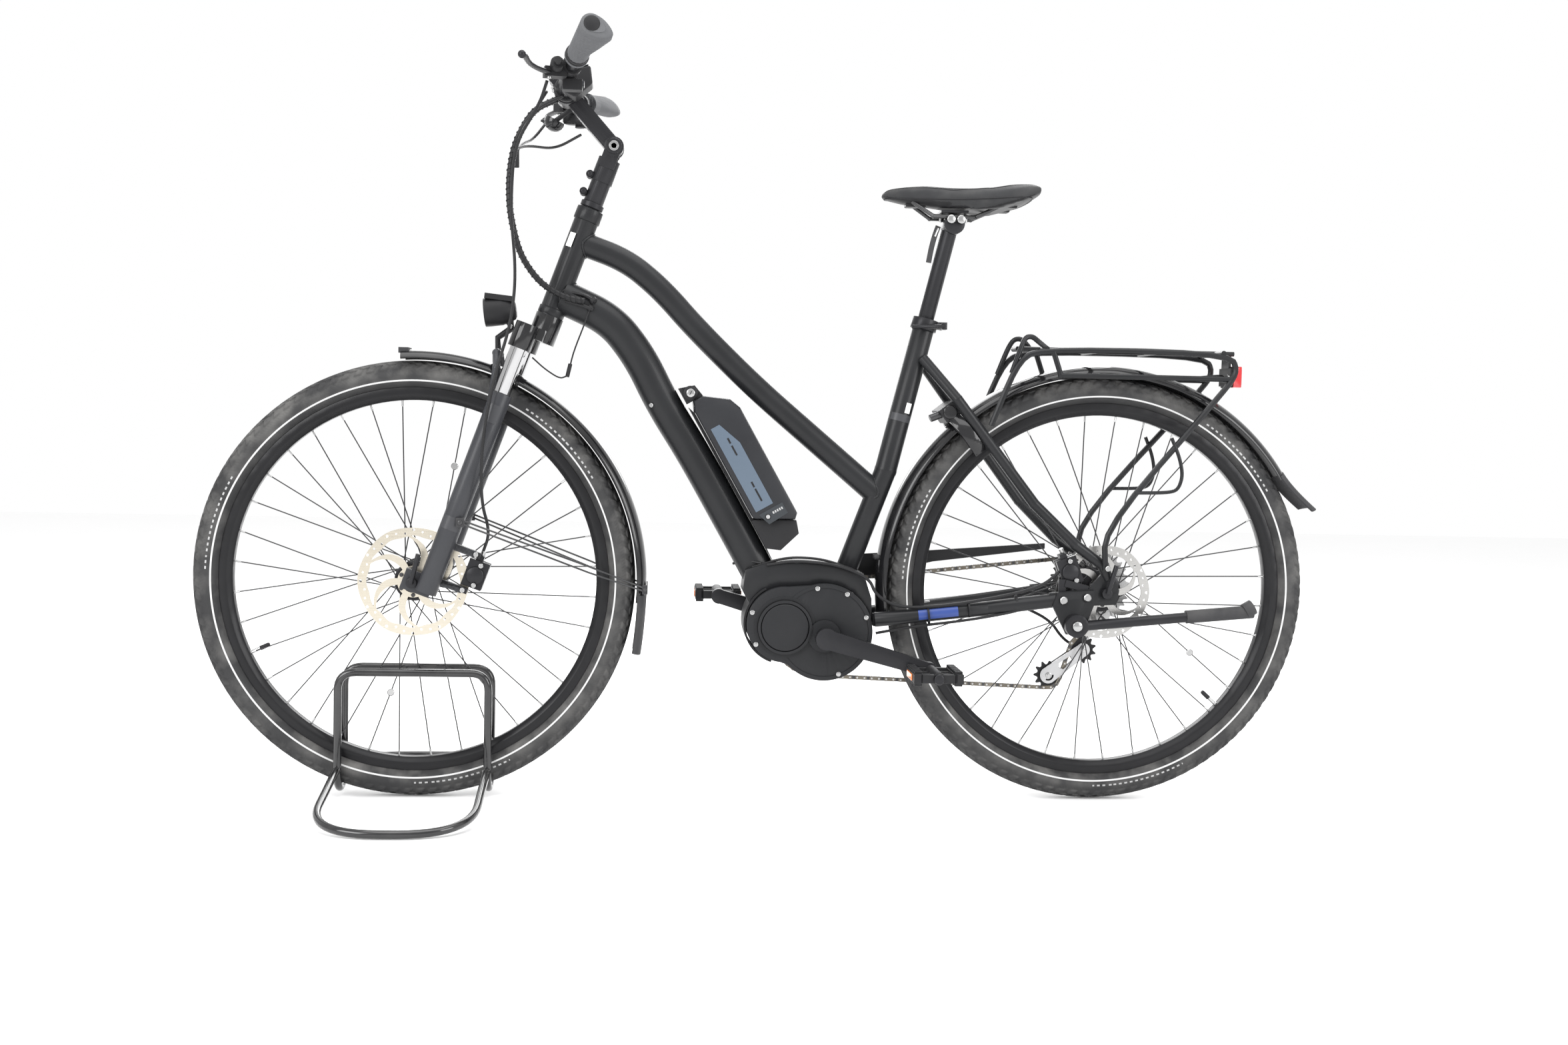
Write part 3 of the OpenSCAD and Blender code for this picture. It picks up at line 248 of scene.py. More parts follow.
def makeBrushGroup():
    # fine turned or brushed lines
    g, gin, gout = newGroup("brushedLines", [
        ("Across", "NodeSocketFloat", 900.0), ("Along", "NodeSocketFloat", 12.0),
            ("Depth", "NodeSocketFloat", 0.5),
    ], [("Height", "NodeSocketFloat")])
    place, stretch, join = (g.nodes.new(k) for k in ("ShaderNodeTexCoord", "ShaderNodeVectorMath",
        "ShaderNodeCombineXYZ"))
    stretch.operation = "MULTIPLY"
    g.links.new(gin.outputs["Along"], join.inputs[0])
    g.links.new(gin.outputs["Across"], join.inputs[1])
    g.links.new(gin.outputs["Across"], join.inputs[2])
    g.links.new(place.outputs["Object"], stretch.inputs[0])
    g.links.new(join.outputs[0], stretch.inputs[1])
    lines = g.nodes.new("ShaderNodeTexNoise")
    lines.inputs["Scale"].default_value = 1
    g.links.new(stretch.outputs[0], lines.inputs["Vector"])
    g.links.new(mathNode(g, "MULTIPLY", lines.outputs[0], gin.outputs["Depth"]), gout.inputs["Height"])
    return g


toneGroup, dustGroup, brushGroup = makeToneGroup(), makeDustGroup(), makeBrushGroup()

# colour, lighter tone, roughness; the rest are optional
finishSettings = {
    "satinFrame": {"tone": (0.010, 0.0104, 0.0115), "light": (0.022, 0.0225, 0.0245), "rough": 0.36,
        "coat": 0.05, "grain": 0.02, "shine": 0.22},
    "glossBlack": {"tone": (0.007, 0.007, 0.008), "light": (0.014, 0.014, 0.015), "rough": 0.13,
        "coat": 0.25, "grain": 0.01, "dust": 0.05, "shine": 0.3},
    "satinGrey": {"tone": (0.03, 0.031, 0.035), "light": (0.05, 0.051, 0.055), "rough": 0.38, "coat": 0.05,
        "grain": 0.03, "shine": 0.25},
    "chromeTube": {"tone": (0.42, 0.42, 0.425), "light": (0.5, 0.5, 0.505), "rough": 0.08, "metal": 1},
    "blackAlloy": {"tone": (0.016, 0.016, 0.018), "light": (0.04, 0.04, 0.043), "rough": 0.34,
        "metal": 0.35, "grain": 0.04, "shine": 0.25},
    "silverAlloy": {"tone": (0.4, 0.4, 0.405), "light": (0.5, 0.5, 0.505), "rough": 0.27, "metal": 1,
        "brush": 0.3},
    "boltSteel": {"tone": (0.36, 0.36, 0.36), "light": (0.48, 0.48, 0.48), "rough": 0.24, "metal": 1},
    "rotorSteel": {"tone": (0.4, 0.395, 0.385), "light": (0.5, 0.495, 0.48), "rough": 0.28, "metal": 1,
        "brush": 0.4},
    "warmRotor": {"tone": (0.56, 0.515, 0.43), "light": (0.64, 0.605, 0.53), "rough": 0.27, "metal": 1,
        "brush": 0.4},
    "oiledSteel": {"tone": (0.12, 0.105, 0.085), "light": (0.3, 0.28, 0.24), "rough": 0.38, "metal": 0.9,
        "scale": 60, "amount": 1.2},
    "darkSteel": {"tone": (0.05, 0.05, 0.052), "light": (0.12, 0.12, 0.12), "rough": 0.33, "metal": 0.8},
    "spokeBlack": {"tone": (0.03, 0.03, 0.032), "light": (0.06, 0.06, 0.06), "rough": 0.32, "metal": 0.6},
    "rimBlack": {"tone": (0.011, 0.011, 0.012), "light": (0.022, 0.022, 0.024), "rough": 0.3, "metal": 0.2,
        "grain": 0.02, "shine": 0.22},
    "mouldedBlack": {"tone": (0.012, 0.012, 0.013), "light": (0.025, 0.025, 0.027), "rough": 0.5,
        "grain": 0.25, "scale": 14, "shine": 0.22},
    "motorShell": {"tone": (0.013, 0.0135, 0.015), "light": (0.022, 0.022, 0.024), "rough": 0.46,
        "grain": 0.22, "scale": 12, "shine": 0.22},
    "batteryShell": {"tone": (0.016, 0.0165, 0.019), "light": (0.03, 0.031, 0.034), "rough": 0.42,
        "grain": 0.16, "scale": 12, "shine": 0.22},
    "labelBlue": {"tone": (0.068, 0.095, 0.13), "light": (0.085, 0.115, 0.155), "rough": 0.35, "coat": 0.3},
    "paperFloor": {"tone": (0.93, 0.93, 0.93), "light": (0.95, 0.95, 0.95), "rough": 0.8},
    "labelWhite": {"tone": (0.72, 0.72, 0.7), "light": (0.8, 0.8, 0.79), "rough": 0.4},
    "labelBlank": {"tone": (0.018, 0.045, 0.2), "light": (0.025, 0.06, 0.24), "rough": 0.35},
    "stickerYellow": {"tone": (0.62, 0.68, 0.06), "light": (0.7, 0.74, 0.1), "rough": 0.4},
    "paintGrey": {"tone": (0.045, 0.046, 0.05), "light": (0.06, 0.06, 0.065), "rough": 0.3, "shine": 0.25},
    "softRubber": {"tone": (0.028, 0.028, 0.03), "light": (0.05, 0.05, 0.052), "rough": 0.66, "grain": 0.4,
        "scale": 20, "dust": 0.12, "shine": 0.25},
    "gripRubber": {"tone": (0.085, 0.087, 0.092), "light": (0.13, 0.133, 0.14), "rough": 0.7, "grain": 0.5,
        "scale": 20, "dust": 0.08, "shine": 0.3},
    "tyreRubber": {"tone": (0.024, 0.024, 0.025), "light": (0.05, 0.05, 0.05), "rough": 0.72, "grain": 0.5,
        "scale": 22, "dust": 0.35, "shine": 0.3},
    "reflectTape": {"tone": (0.5, 0.5, 0.5), "light": (0.62, 0.62, 0.62), "rough": 0.45},
    # grey print on the tyres and battery; also a painted highlight for the strip along the battery dock edge
    "greyPrintAndPaintedShine": {"tone": (0.32, 0.32, 0.32), "light": (0.42, 0.42, 0.42), "rough": 0.6},
    "hoseBlack": {"tone": (0.011, 0.011, 0.012), "light": (0.025, 0.025, 0.026), "rough": 0.4,
        "grain": 0.05, "shine": 0.25},
    "saddleCover": {"tone": (0.022, 0.0225, 0.024), "light": (0.042, 0.0425, 0.045), "rough": 0.6,
        "grain": 0.7, "scale": 26, "dust": 0.1, "shine": 0.22},
    "saddleShell": {"tone": (0.012, 0.012, 0.013), "light": (0.02, 0.02, 0.021), "rough": 0.4, "grain": 0.1,
        "shine": 0.22},
    "standGloss": {"tone": (0.006, 0.006, 0.007), "light": (0.012, 0.012, 0.013), "rough": 0.16,
        "coat": 0.5, "dust": 0.08, "shine": 0.4},
    "redLens": {"tone": (0.42, 0.006, 0.01), "light": (0.6, 0.02, 0.02), "rough": 0.12, "coat": 0.8},
    "amberLens": {"tone": (0.72, 0.17, 0.02), "light": (0.85, 0.28, 0.05), "rough": 0.25, "coat": 0.6},
    "mirrorBowl": {"tone": (0.85, 0.85, 0.86), "light": (0.95, 0.95, 0.95), "rough": 0.06, "metal": 1},
    "screenGlass": {"tone": (0.02, 0.024, 0.028), "light": (0.03, 0.034, 0.04), "rough": 0.08, "coat": 0.5,
        "shine": 0.4},
}


def makeFinish(name, s):
    m = bpy.data.materials.new(name)
    m.use_nodes = True
    t = m.node_tree
    shader = t.nodes["Principled BSDF"]
    tone = t.nodes.new("ShaderNodeGroup")
    tone.node_tree = toneGroup
    tone.inputs["Colour"].default_value = (*s["tone"], 1)
    tone.inputs["Light Colour"].default_value = (*s["light"], 1)
    tone.inputs["Amount"].default_value = s.get("amount", 0.9)
    tone.inputs["Scale"].default_value = s.get("scale", 9)
    tone.inputs["Roughness"].default_value = s["rough"]
    tone.inputs["Spread"].default_value = min(0.12, s["rough"] * 0.4)
    colour = tone.outputs["Colour"]
    if "dust" in s:
        dust = t.nodes.new("ShaderNodeGroup")
        dust.node_tree = dustGroup
        dust.inputs["Amount"].default_value = s["dust"]
        t.links.new(colour, dust.inputs["Colour"])
        colour = dust.outputs["Colour"]
    t.links.new(colour, shader.inputs["Base Color"])
    t.links.new(tone.outputs["Roughness"], shader.inputs["Roughness"])
    shader.inputs["Metallic"].default_value = s.get("metal", 0)
    shader.inputs["Specular IOR Level"].default_value = s.get("shine", 0.5)
    shader.inputs["Coat Weight"].default_value = s.get("coat", 0)
    shader.inputs["Coat Roughness"].default_value = 0.08
    height, strength = (tone.outputs["Height"], s["grain"]) if "grain" in s else (None, 0)
    if "brush" in s:
        lines = t.nodes.new("ShaderNodeGroup")
        lines.node_tree = brushGroup
        height, strength = lines.outputs["Height"], s["brush"]
    if height:
        bump = t.nodes.new("ShaderNodeBump")
        bump.inputs["Strength"].default_value = strength
        bump.inputs["Distance"].default_value = 0.0004
        t.links.new(height, bump.inputs["Height"])
        t.links.new(bump.outputs[0], shader.inputs["Normal"])
    return m


finish = {name: makeFinish(name, s) for name, s in finishSettings.items()}


def makeGlass():
    m = bpy.data.materials.new("clearLens")
    m.use_nodes = True
    shader = m.node_tree.nodes["Principled BSDF"]
    shader.inputs["Base Color"].default_value = (0.95, 0.96, 0.97, 1)
    shader.inputs["Transmission Weight"].default_value = 0.9
    shader.inputs["IOR"].default_value = 1.49
    tone = m.node_tree.nodes.new("ShaderNodeGroup")
    tone.node_tree = toneGroup
    tone.inputs["Roughness"].default_value = 0.06
    tone.inputs["Spread"].default_value = 0.04
    m.node_tree.links.new(tone.outputs["Roughness"], shader.inputs["Roughness"])
    return m


finish["clearLens"] = makeGlass()
print("materials made:", len(finish))


# Building meshes, in millimetres
class Shape:
    def __init__(self):
        self.verts, self.faces, self.marks = [], [], []

    def put(self, verts, faces, mark=0):
        base = len(self.verts)
        self.verts += [tuple(v) for v in verts]
        self.faces += [tuple(i + base for i in f) for f in faces]
        self.marks += [mark] * len(faces)

    def tube(self, path, r, sides=16, mark=0, closed=False, side=(0, 1, 0), caps=True):
        # r is a radius, a (half width, half height) pair, or one of these for each point
        path = [Vector(p) for p in path]
        n = len(path)
        each = r if isinstance(r, list) else [r] * n
        verts, faces = [], []
        across = Vector(side)
        for i, p in enumerate(path):
            a, b = (path[i - 1], path[(i + 1) % n]) if closed else (path[max(i - 1, 0)],
                path[min(i + 1, n - 1)])
            t = (b - a).normalized()
            across = (across - t * across.dot(t)).normalized()
            up = t.cross(across)
            w, h = each[i] if isinstance(each[i], tuple) else (each[i], each[i])
            for k in range(sides):
                c = 2 * math.pi * k / sides
                verts.append(p + across * (w * math.cos(c)) + up * (h * math.sin(c)))
        for i in range(n if closed else n - 1):
            for k in range(sides):
                j = (i + 1) % n
                a, b = i * sides + k, i * sides + (k + 1) % sides
                faces.append((a, b, j * sides + (k + 1) % sides, j * sides + k))
        if caps and not closed:
            faces.append(tuple(reversed(range(sides))))
            faces.append(tuple((n - 1) * sides + k for k in range(sides)))
        self.put(verts, faces, mark)

    def lathe(self, origin, axis, profile, steps=40, mark=0):
        # profile is (distance along the axis, radius), closed at the ends where the radius is zero
        axis = Vector(axis).normalized()
        a = axis.orthogonal().normalized()
        b = axis.cross(a)
        verts, faces = [], []
        for along, r in profile:
            for k in range(steps):
                c = 2 * math.pi * k / steps
                verts.append(Vector(origin) + axis * along + (a * math.cos(c) + b * math.sin(c)) * r)
        for i in range(len(profile) - 1):
            for k in range(steps):
                p, q = i * steps + k, i * steps + (k + 1) % steps
                faces.append((p, q, q + steps, p + steps))
        faces.append(tuple(reversed(range(steps))))
        faces.append(tuple((len(profile) - 1) * steps + k for k in range(steps)))
        self.put(verts, faces, mark)

    def rod(self, a, b, r, steps=20, mark=0, soft=0):
        v = Vector(b) - Vector(a)
        h = v.length
        ends = [(0, r), (h, r)] if not soft else [(0, r - soft), (soft * 0.3, r - soft * 0.3), (soft, r),
                                                 (h - soft, r), (h - soft * 0.3, r - soft * 0.3),
                                                     (h, r - soft)]
        self.lathe(a, v, ends, steps, mark)

    def ball(self, p, r, mark=0, steps=16):
        ring = [(-r * math.cos(math.pi * i / 8), max(r * math.sin(math.pi * i / 8),
            0.02 * r)) for i in range(9)]
        self.lathe(p, (0, 0, 1), ring, steps, mark)

    def plate(self, loops, thick, place=None, mark=0):
        # flat outlines with holes, thickened; without a place they stand in the X-Z plane at y = thick[0]..thick[1]
        place = place or Matrix(((1, 0, 0, 0), (0, 0, 1, 0), (0, 1, 0, 0), (0, 0, 0, 1)))
        loops = [[Vector((p[0], p[1], 0)) for p in loop] for loop in loops]
        flat = [p for loop in loops for p in loop]
        tris = tessellate_polygon(loops)
        n = len(flat)
        verts = [place @ (p + Vector((0, 0, w))) for w in thick for p in flat]
        faces = [tuple(t) for t in tris] + [tuple(i + n for i in reversed(t)) for t in tris]
        start = 0
        for loop in loops:
            for k in range(len(loop)):
                a, b = start + k, start + (k + 1) % len(loop)
                faces.append((a, b, b + n, a + n))
            start += len(loop)
        self.put(verts, faces, mark)

    def box(self, centre, size, turn=None, mark=0):
        turn = turn or Matrix.Identity(3)
        verts = [Vector(centre) + turn @ Vector((x * size[0] / 2, y * size[1] / 2, z * size[2] / 2))
                 for x in (-1, 1) for y in (-1, 1) for z in (-1, 1)]
        self.put(verts, [(0, 1, 3, 2), (4, 6, 7, 5), (0, 4, 5, 1), (2, 3, 7, 6), (0, 2, 6, 4),
            (1, 5, 7, 3)], mark)

    def both(self, maker):
        # runs the maker, then mirrors what it made across the middle plane
        start, first = len(self.verts), len(self.faces)
        maker()
        count = len(self.verts) - start
        self.verts += [(x, -y, z) for x, y, z in self.verts[start:]]
        made = self.faces[first:]
        self.faces += [tuple(i + count for i in reversed(f)) for f in made]
        self.marks += self.marks[first:]

    def build(self, name, mats, body, slot=None, bevel=0, sharp=38, stands=(), recalc=True):
        mesh = bpy.data.meshes.new(name)
        mesh.from_pydata([(x * mm, y * mm, z * mm) for x, y, z in self.verts], [], self.faces)
        mats = [mats] if isinstance(mats, str) else mats
        for m in mats:
            mesh.materials.append(finish[m])
        mesh.polygons.foreach_set("material_index", self.marks)
        if recalc:
            bm = bmesh.new()
            bm.from_mesh(mesh)
            bmesh.ops.recalc_face_normals(bm, faces=bm.faces)
            bm.to_mesh(mesh)
            bm.free()
        mesh.shade_smooth()
        mesh.set_sharp_from_angle(angle=math.radians(sharp))
        obj = bpy.data.objects.new(name, mesh)
        scene.collection.objects.link(obj)
        if bevel:
            addBevel(obj, bevel)
        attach(obj, body)
        if stands:
            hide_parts(*stands)
        return obj


def addBevel(obj, width, segments=2, angle=38):
    b = obj.modifiers.new("edges", "BEVEL")
    b.width, b.segments, b.limit_method, b.angle_limit = width * mm, segments, "ANGLE", math.radians(angle)
    b.harden_normals = True


def paintNode(name, mats, test=None, bevel=0.5):
    # material for a carried-over solid; test gives the material's number from a face centre in millimetres
    obj = nodes[name]
    mesh = obj.data
    mesh.materials.clear()
    for m in ([mats] if isinstance(mats, str) else mats):
        mesh.materials.append(finish[m])
    for f in mesh.polygons:
        f.material_index = test(f.center / mm) if test else 0
    mesh.shade_smooth()
    weld = obj.modifiers.new("weld", "WELD")
    weld.merge_threshold = 0.00001
    if bevel:
        addBevel(obj, bevel)
    split = obj.modifiers.new("creases", "EDGE_SPLIT")
    split.split_angle = math.radians(34)


def circle(x, z, r, n=32, start=0.0):
    return [(x + r * math.cos(start + 2 * math.pi * k / n),
        z + r * math.sin(start + 2 * math.pi * k / n)) for k in range(n)]


def hexBolt(shape, at, axis, r, h, mark):
    # round head with a hexagon socket
    shape.lathe(at, axis, [(0, r), (h * 0.8, r), (h, r * 0.82)], 20, mark)
    shape.lathe(Vector(at) + Vector(axis).normalized() * (h - r * 0.25), axis,
        [(0, r * 0.5), (r * 0.3, r * 0.5)], 6, mark)


# Tyres, rims and what turns with them
tyreSettings = {"ringR": 336, "halfW": 25, "depth": 2.3, "around": 1320, "across": 76, "blocks": 104,
    "edge": 118}


def softStep(v, a, b):
    t = np.clip((v - a) / (b - a), 0, 1)
    return t * t * (3 - 2 * t)


def pulse(v, duty, soft=0.09):
    f = v - np.floor(v)
    return softStep(f, 0, soft) * (1 - softStep(f, duty, duty + soft))


def makeTyre(name, x, body, node):
    s = tyreSettings
    theta = np.linspace(0, 2 * np.pi, s["around"], endpoint=False)
    phi = np.radians(np.linspace(-s["edge"], s["edge"], s["across"]))
    wheelTurn, tubeTurn = np.meshgrid(theta, phi, indexing="ij")
    a = np.degrees(np.abs(tubeTurn))
    side = np.where(tubeTurn < 0, 0.0, 0.5)
    turns = wheelTurn / (2 * np.pi) * s["blocks"]
    middle = 1 - softStep(a, 10, 14 + 2.5 * np.sin(wheelTurn * s["blocks"] + side * 6.28))
    sipes = 1 - 0.5 * pulse(turns * 1 + side, 0.10, 0.05) * (a > 2)
    inner = softStep(a, 18, 21) * (1 - softStep(a, 36, 39)) * pulse(turns + side + a * 0.014, 0.62)
    shoulder = softStep(a, 39, 42) * (1 - softStep(a, 60, 66)) * pulse(turns + side + 0.45 - a * 0.012, 0.56)
    ridge = np.maximum(np.maximum(middle * sipes, inner), shoulder)
    base = softStep(a, 60, 92)
    height = -s["depth"] * (1 - np.maximum(ridge, base))
    fins = 0.28 * np.sin(wheelTurn * 420 + a * 0.3) * softStep(a, 66, 70) * (1 - softStep(a, 80, 84))
    bead = 0.5 * softStep(a, 103, 105) * (1 - softStep(a, 113, 115))
    r = s["halfW"] + np.minimum(height + fins - 0.3, 0) + bead
    outward = s["ringR"] + r * np.cos(tubeTurn)
    acrossY = r * np.sin(tubeTurn)
    n, m = wheelTurn.shape
    verts = np.stack([x + outward * np.cos(wheelTurn), acrossY, axleZ + outward * np.sin(wheelTurn)],
        -1).reshape(-1, 3)
    inside = []
    for sign in (-1, 1):
        inside.append(np.stack([x + 315.5 * np.cos(theta), np.full(n, sign * 11.5),
            axleZ + 315.5 * np.sin(theta)], -1))
    i = np.arange(n)[:, None]
    j = np.arange(m - 1)[None, :]
    quads = np.stack([i * m + j, i * m + j + 1, ((i + 1) % n) * m + j + 1, ((i + 1) % n) * m + j],
        -1).reshape(-1, 4)
    k = np.arange(n)
    lo, hi = n * m + k, n * m + n + k
    lo2, hi2 = n * m + (k + 1) % n, n * m + n + (k + 1) % n
    q1 = np.stack([lo, k * m, ((k + 1) % n) * m, lo2], -1)
    q2 = np.stack([k * m + m - 1, hi, hi2, ((k + 1) % n) * m + m - 1], -1)
    q3 = np.stack([hi, lo, lo2, hi2], -1)
    mid = (a[:, :-1] + a[:, 1:]) / 2
    word = np.degrees(wheelTurn[:, :-1]) % 120
    dash = (np.floor(wheelTurn[:,
        :-1] * s["around"] / (2 * np.pi) / 3) % 2 == 0) & (word > 30) & (word < 58) & (mid > 86) & (mid < 93)
    marks = np.where((mid > 105.5) & (mid < 111.5), 1, np.where(dash, 2, 0)).reshape(-1)
    shape = Shape()
    shape.verts = [tuple(v) for v in np.concatenate([verts] + inside).tolist()]
    shape.faces = [tuple(f) for f in np.concatenate([quads, q1, q2, q3]).tolist()]
    shape.marks = marks.astype(int).tolist() + [0] * (3 * n)
    shape.build(name, ["tyreRubber", "reflectTape", "greyPrintAndPaintedShine"], body, "tyre_rubber", sharp=60,
        stands=[node], recalc=False)


makeTyre("frontTyre", frontX, "front_wheel", "front_tyre")
makeTyre("rearTyre", rearX, "rear_wheel", "rear_tyre")
print("tyres made")


def spokeLine(i, x, leftY, rightY, flangeR, count=36):
    lean = 1 if (i // 2) % 2 == 0 else -1
    rimA = 2 * math.pi * (i + 0.5) / count
    hubA = rimA + lean * math.radians(54)
    fy = (rightY if i % 2 else leftY) + 1.6 * lean
    hub = Vector((x + flangeR * math.cos(hubA), fy, axleZ + flangeR * math.sin(hubA)))
    rim = Vector((x + 298 * math.cos(rimA), fy * 0.1, axleZ + 298 * math.sin(rimA)))
    return hub, rim


def makeWheelTrim(label, x, body, leftY, rightY, flangeR, valveAngle):
    shape = Shape()
    for i in range(36):
        hub, rim = spokeLine(i, x, leftY, rightY, flangeR)
        d = (hub - rim).normalized()
        shape.lathe(rim - d * 1.5, d, [(0, 2.6), (4, 2.3), (4.4, 1.7), (13, 1.6), (13.5, 1.1)], 10, 0)
        shape.lathe(rim - d * 0.6, d, [(0, 3.8), (1.6, 3.6), (2, 3.0)], 12, 1)
    shape.build(label + "Nipples", ["boltSteel", "rimBlack"], body, "steel")
    a = math.radians(valveAngle)
    out = Vector((math.cos(a), 0, math.sin(a)))
    foot = Vector((x, 0, axleZ)) + out * 297
    valve = Shape()
    valve.lathe(foot, -out, [(0, 4.2), (2.5, 4.2), (3, 2.9), (18, 2.9)], 14, 0)
    valve.lathe(foot - out * 18, -out, [(0, 3.9), (14, 3.7), (16.5, 2.6)], 14, 1)
    valve.build(label + "Valve", ["boltSteel", "mouldedBlack"], body, "rubber")


makeWheelTrim("front", frontX, "front_wheel", -24, 34, 27, 205)
makeWheelTrim("rear", rearX, "rear_wheel", -36, 24, 29, -42)


def rotorLoops(x, r, holes=36):
    wave = [(x + (r - 0.9 + 0.9 * math.cos(6 * a)) * math.cos(a),
        axleZ + (r - 0.9 + 0.9 * math.cos(6 * a)) * math.sin(a))
            for a in np.linspace(0, 2 * math.pi, 180, endpoint=False)]
    inner = []
    for k in range(180):
        a = 2 * math.pi * k / 180
        inner.append((x + (r - 15.5 + 1.2 * math.cos(12 * a)) * math.cos(a),
            axleZ + (r - 15.5 + 1.2 * math.cos(12 * a)) * math.sin(a)))
    loops = [wave, inner]
    for k in range(holes):
        a = 2 * math.pi * k / holes
        rr = r - 5 if k % 3 == 0 else r - 10.5 if k % 3 == 1 else r - 7.5
        loops.append(circle(x + rr * math.cos(a), axleZ + rr * math.sin(a), 1.9 if k % 3 else 2.4, 12))
    return loops


def makeRotor(name, x, y, r, material, body, node):
    shape = Shape()
    shape.plate(rotorLoops(x, r), (y - 0.9, y + 0.9))
    for k in range(6):
        a0 = 2 * math.pi * k / 6
        leg = []
        for sign in (-1, 1):
            pts = []
            for t in np.linspace(0, 1, 9):
                rr = 23 + (r - 14.5 - 23) * t
                a = a0 + 0.62 * t * t + sign * (0.17 * (1 - t) + 0.045)
                pts.append((x + rr * math.cos(a), axleZ + rr * math.sin(a)))
            leg += pts if sign < 0 else pts[::-1]
        shape.plate([leg], (y - 0.88, y + 0.88))
    shape.plate([circle(x, axleZ, 26, 48), circle(x, axleZ, 17.6, 48)], (y - 0.9, y + 0.9))
    for k in range(6):
        a = 2 * math.pi * (k + 0.5) / 6
        hexBolt(shape, (x + 22 * math.cos(a), y - 0.9, axleZ + 22 * math.sin(a)), (0, -1, 0), 3.4, 2.4, 1)
    shape.build(name, [material, "darkSteel"], body, "steel", stands=[node])


makeRotor("frontRotor", frontX, -40, 90, "warmRotor", "front_wheel", "front_disc")
makeRotor("rearRotor", rearX, -52, 80, "rotorSteel", "rear_wheel", "rear_disc")
print("wheels dressed")

# Chain, chainring, sprockets and pulleys
chainPitch = 12.7


def pitchR(teeth):
    return chainPitch / (2 * math.sin(math.pi / teeth))


def toothLoop(x, z, teeth, turn=0.0, narrow=1.0):
    r = pitchR(teeth)
    pts = []
    for k in range(teeth):
        a = 2 * math.pi * k / teeth + turn
        step = 2 * math.pi / teeth
        for f, rr in ((0, r - 4.0), (0.14, r - 3.7), (0.28, r - 1.2), (0.40, r + 2.2 * narrow),
                (0.5, r + 2.8 * narrow),
                      (0.60, r + 2.2 * narrow), (0.72, r - 1.2), (0.86, r - 3.7)):
            pts.append((x + rr * math.cos(a + f * step), z + rr * math.sin(a + f * step)))
    return pts


def chainPath():
    wheels = [((rearX, axleZ), pitchR(26), 1), ((crankX, crankZ), pitchR(40), 1),
              (bike["lowerPulley"], pitchR(11), 1), (bike["upperPulley"], pitchR(11), -1)]

    def heading(a, b):
        v = (b[0][0] - a[0][0], b[0][1] - a[0][1])
        return math.atan2(v[1], v[0]) - math.asin((b[2] * b[1] - a[2] * a[1]) / math.hypot(*v))
    pts = []
    for i, w in enumerate(wheels):
        h0, h1 = heading(wheels[i - 1], w), heading(w, wheels[(i + 1) % 4])
        d = (h1 - h0) * w[2]
        arc = w[2] * (d - 2 * math.pi * math.floor(d / (2 * math.pi)))
        for k in range(25):
            h = h0 + arc * k / 24
            pts.append((w[0][0] + w[2] * w[1] * math.sin(h), w[0][1] - w[2] * w[1] * math.cos(h)))
    return pts


def evenly(pts, count):
    p = np.array(pts + [pts[0]])
    d = np.concatenate([[0], np.cumsum(np.hypot(*np.diff(p, axis=0).T))])
    at = np.linspace(0, d[-1], count, endpoint=False)
    return np.stack([np.interp(at, d, p[:, 0]), np.interp(at, d, p[:, 1])], 1)


def makeChain():
    path = chainPath()
    length = sum(math.dist(a, b) for a, b in zip(path, path[1:] + path[:1]))
    count = 2 * round(length / chainPitch / 2)
    at = evenly(path, count)
    shape = Shape()
    for i in range(count):
        a, b = at[i], at[(i + 1) % count]
        ang = math.atan2(b[1] - a[1], b[0] - a[0])
        half = math.dist(a, b) / 2
        outline = []
        for k in range(20):
            c = 2 * math.pi * k / 20
            waist = 1 - 0.24 * math.exp(-(math.cos(c) / 0.42) ** 2)
            outline.append((math.cos(c) * 4.05 + (half if math.cos(c) > 0.02 else -half if math.cos(c) < -0.02 else 0),
                            math.sin(c) * 4.05 * waist))
        cs, sn = math.cos(ang), math.sin(ang)
        mx, mz = (a[0] + b[0]) / 2, (a[1] + b[1]) / 2
        loop = [(mx + u * cs - v * sn, mz + u * sn + v * cs) for u, v in outline]
        for y in ((-3.15, -2.35), (2.35, 3.15)) if i % 2 else ((-2.3, -1.5), (1.5, 2.3)):
            shape.plate([loop], (44 + y[0], 44 + y[1]), mark=0 if i % 2 else 1)
        shape.rod((a[0], 44 - 1.5, a[1]), (a[0], 44 + 1.5, a[1]), 3.8, 12, 1)
        shape.rod((a[0], 44 - 3.5, a[1]), (a[0], 44 + 3.5, a[1]), 1.75, 10, 2)
    shape.build("driveChain", ["oiledSteel", "darkSteel", "boltSteel"], "frame", "dark_steel",
        stands=["chain"])


makeChain()


def makeRing():
    shape = Shape()
    y = 44
    root = pitchR(40) - 4.3
    shape.plate([toothLoop(crankX, crankZ, 40), circle(crankX, crankZ, root - 12, 96)], (y - 1.3, y + 1.3))
    for k in range(5):
        a = math.radians(72 * k)
        c, s = math.cos(a), math.sin(a)
        arm = [(18, -11), (root - 20, -7), (root - 9, -10), (root - 9, 10), (root - 20, 7), (18, 11)]
        shape.plate([[(crankX + u * c - v * s, crankZ + u * s + v * c) for u, v in arm]], (y - 1.2, y + 3))
        hexBolt(shape, (crankX + (root - 13) * c, y + 3, crankZ + (root - 13) * s), (0, 1, 0), 5, 2, 1)
    shape.plate([circle(crankX, crankZ, 20, 48), circle(crankX, crankZ, 12.6, 32)], (y - 3.8, y + 5.8))
    shape.build("chainRing", ["darkSteel", "boltSteel"], "crank", "dark_steel", stands=["chainring"])


makeRing()


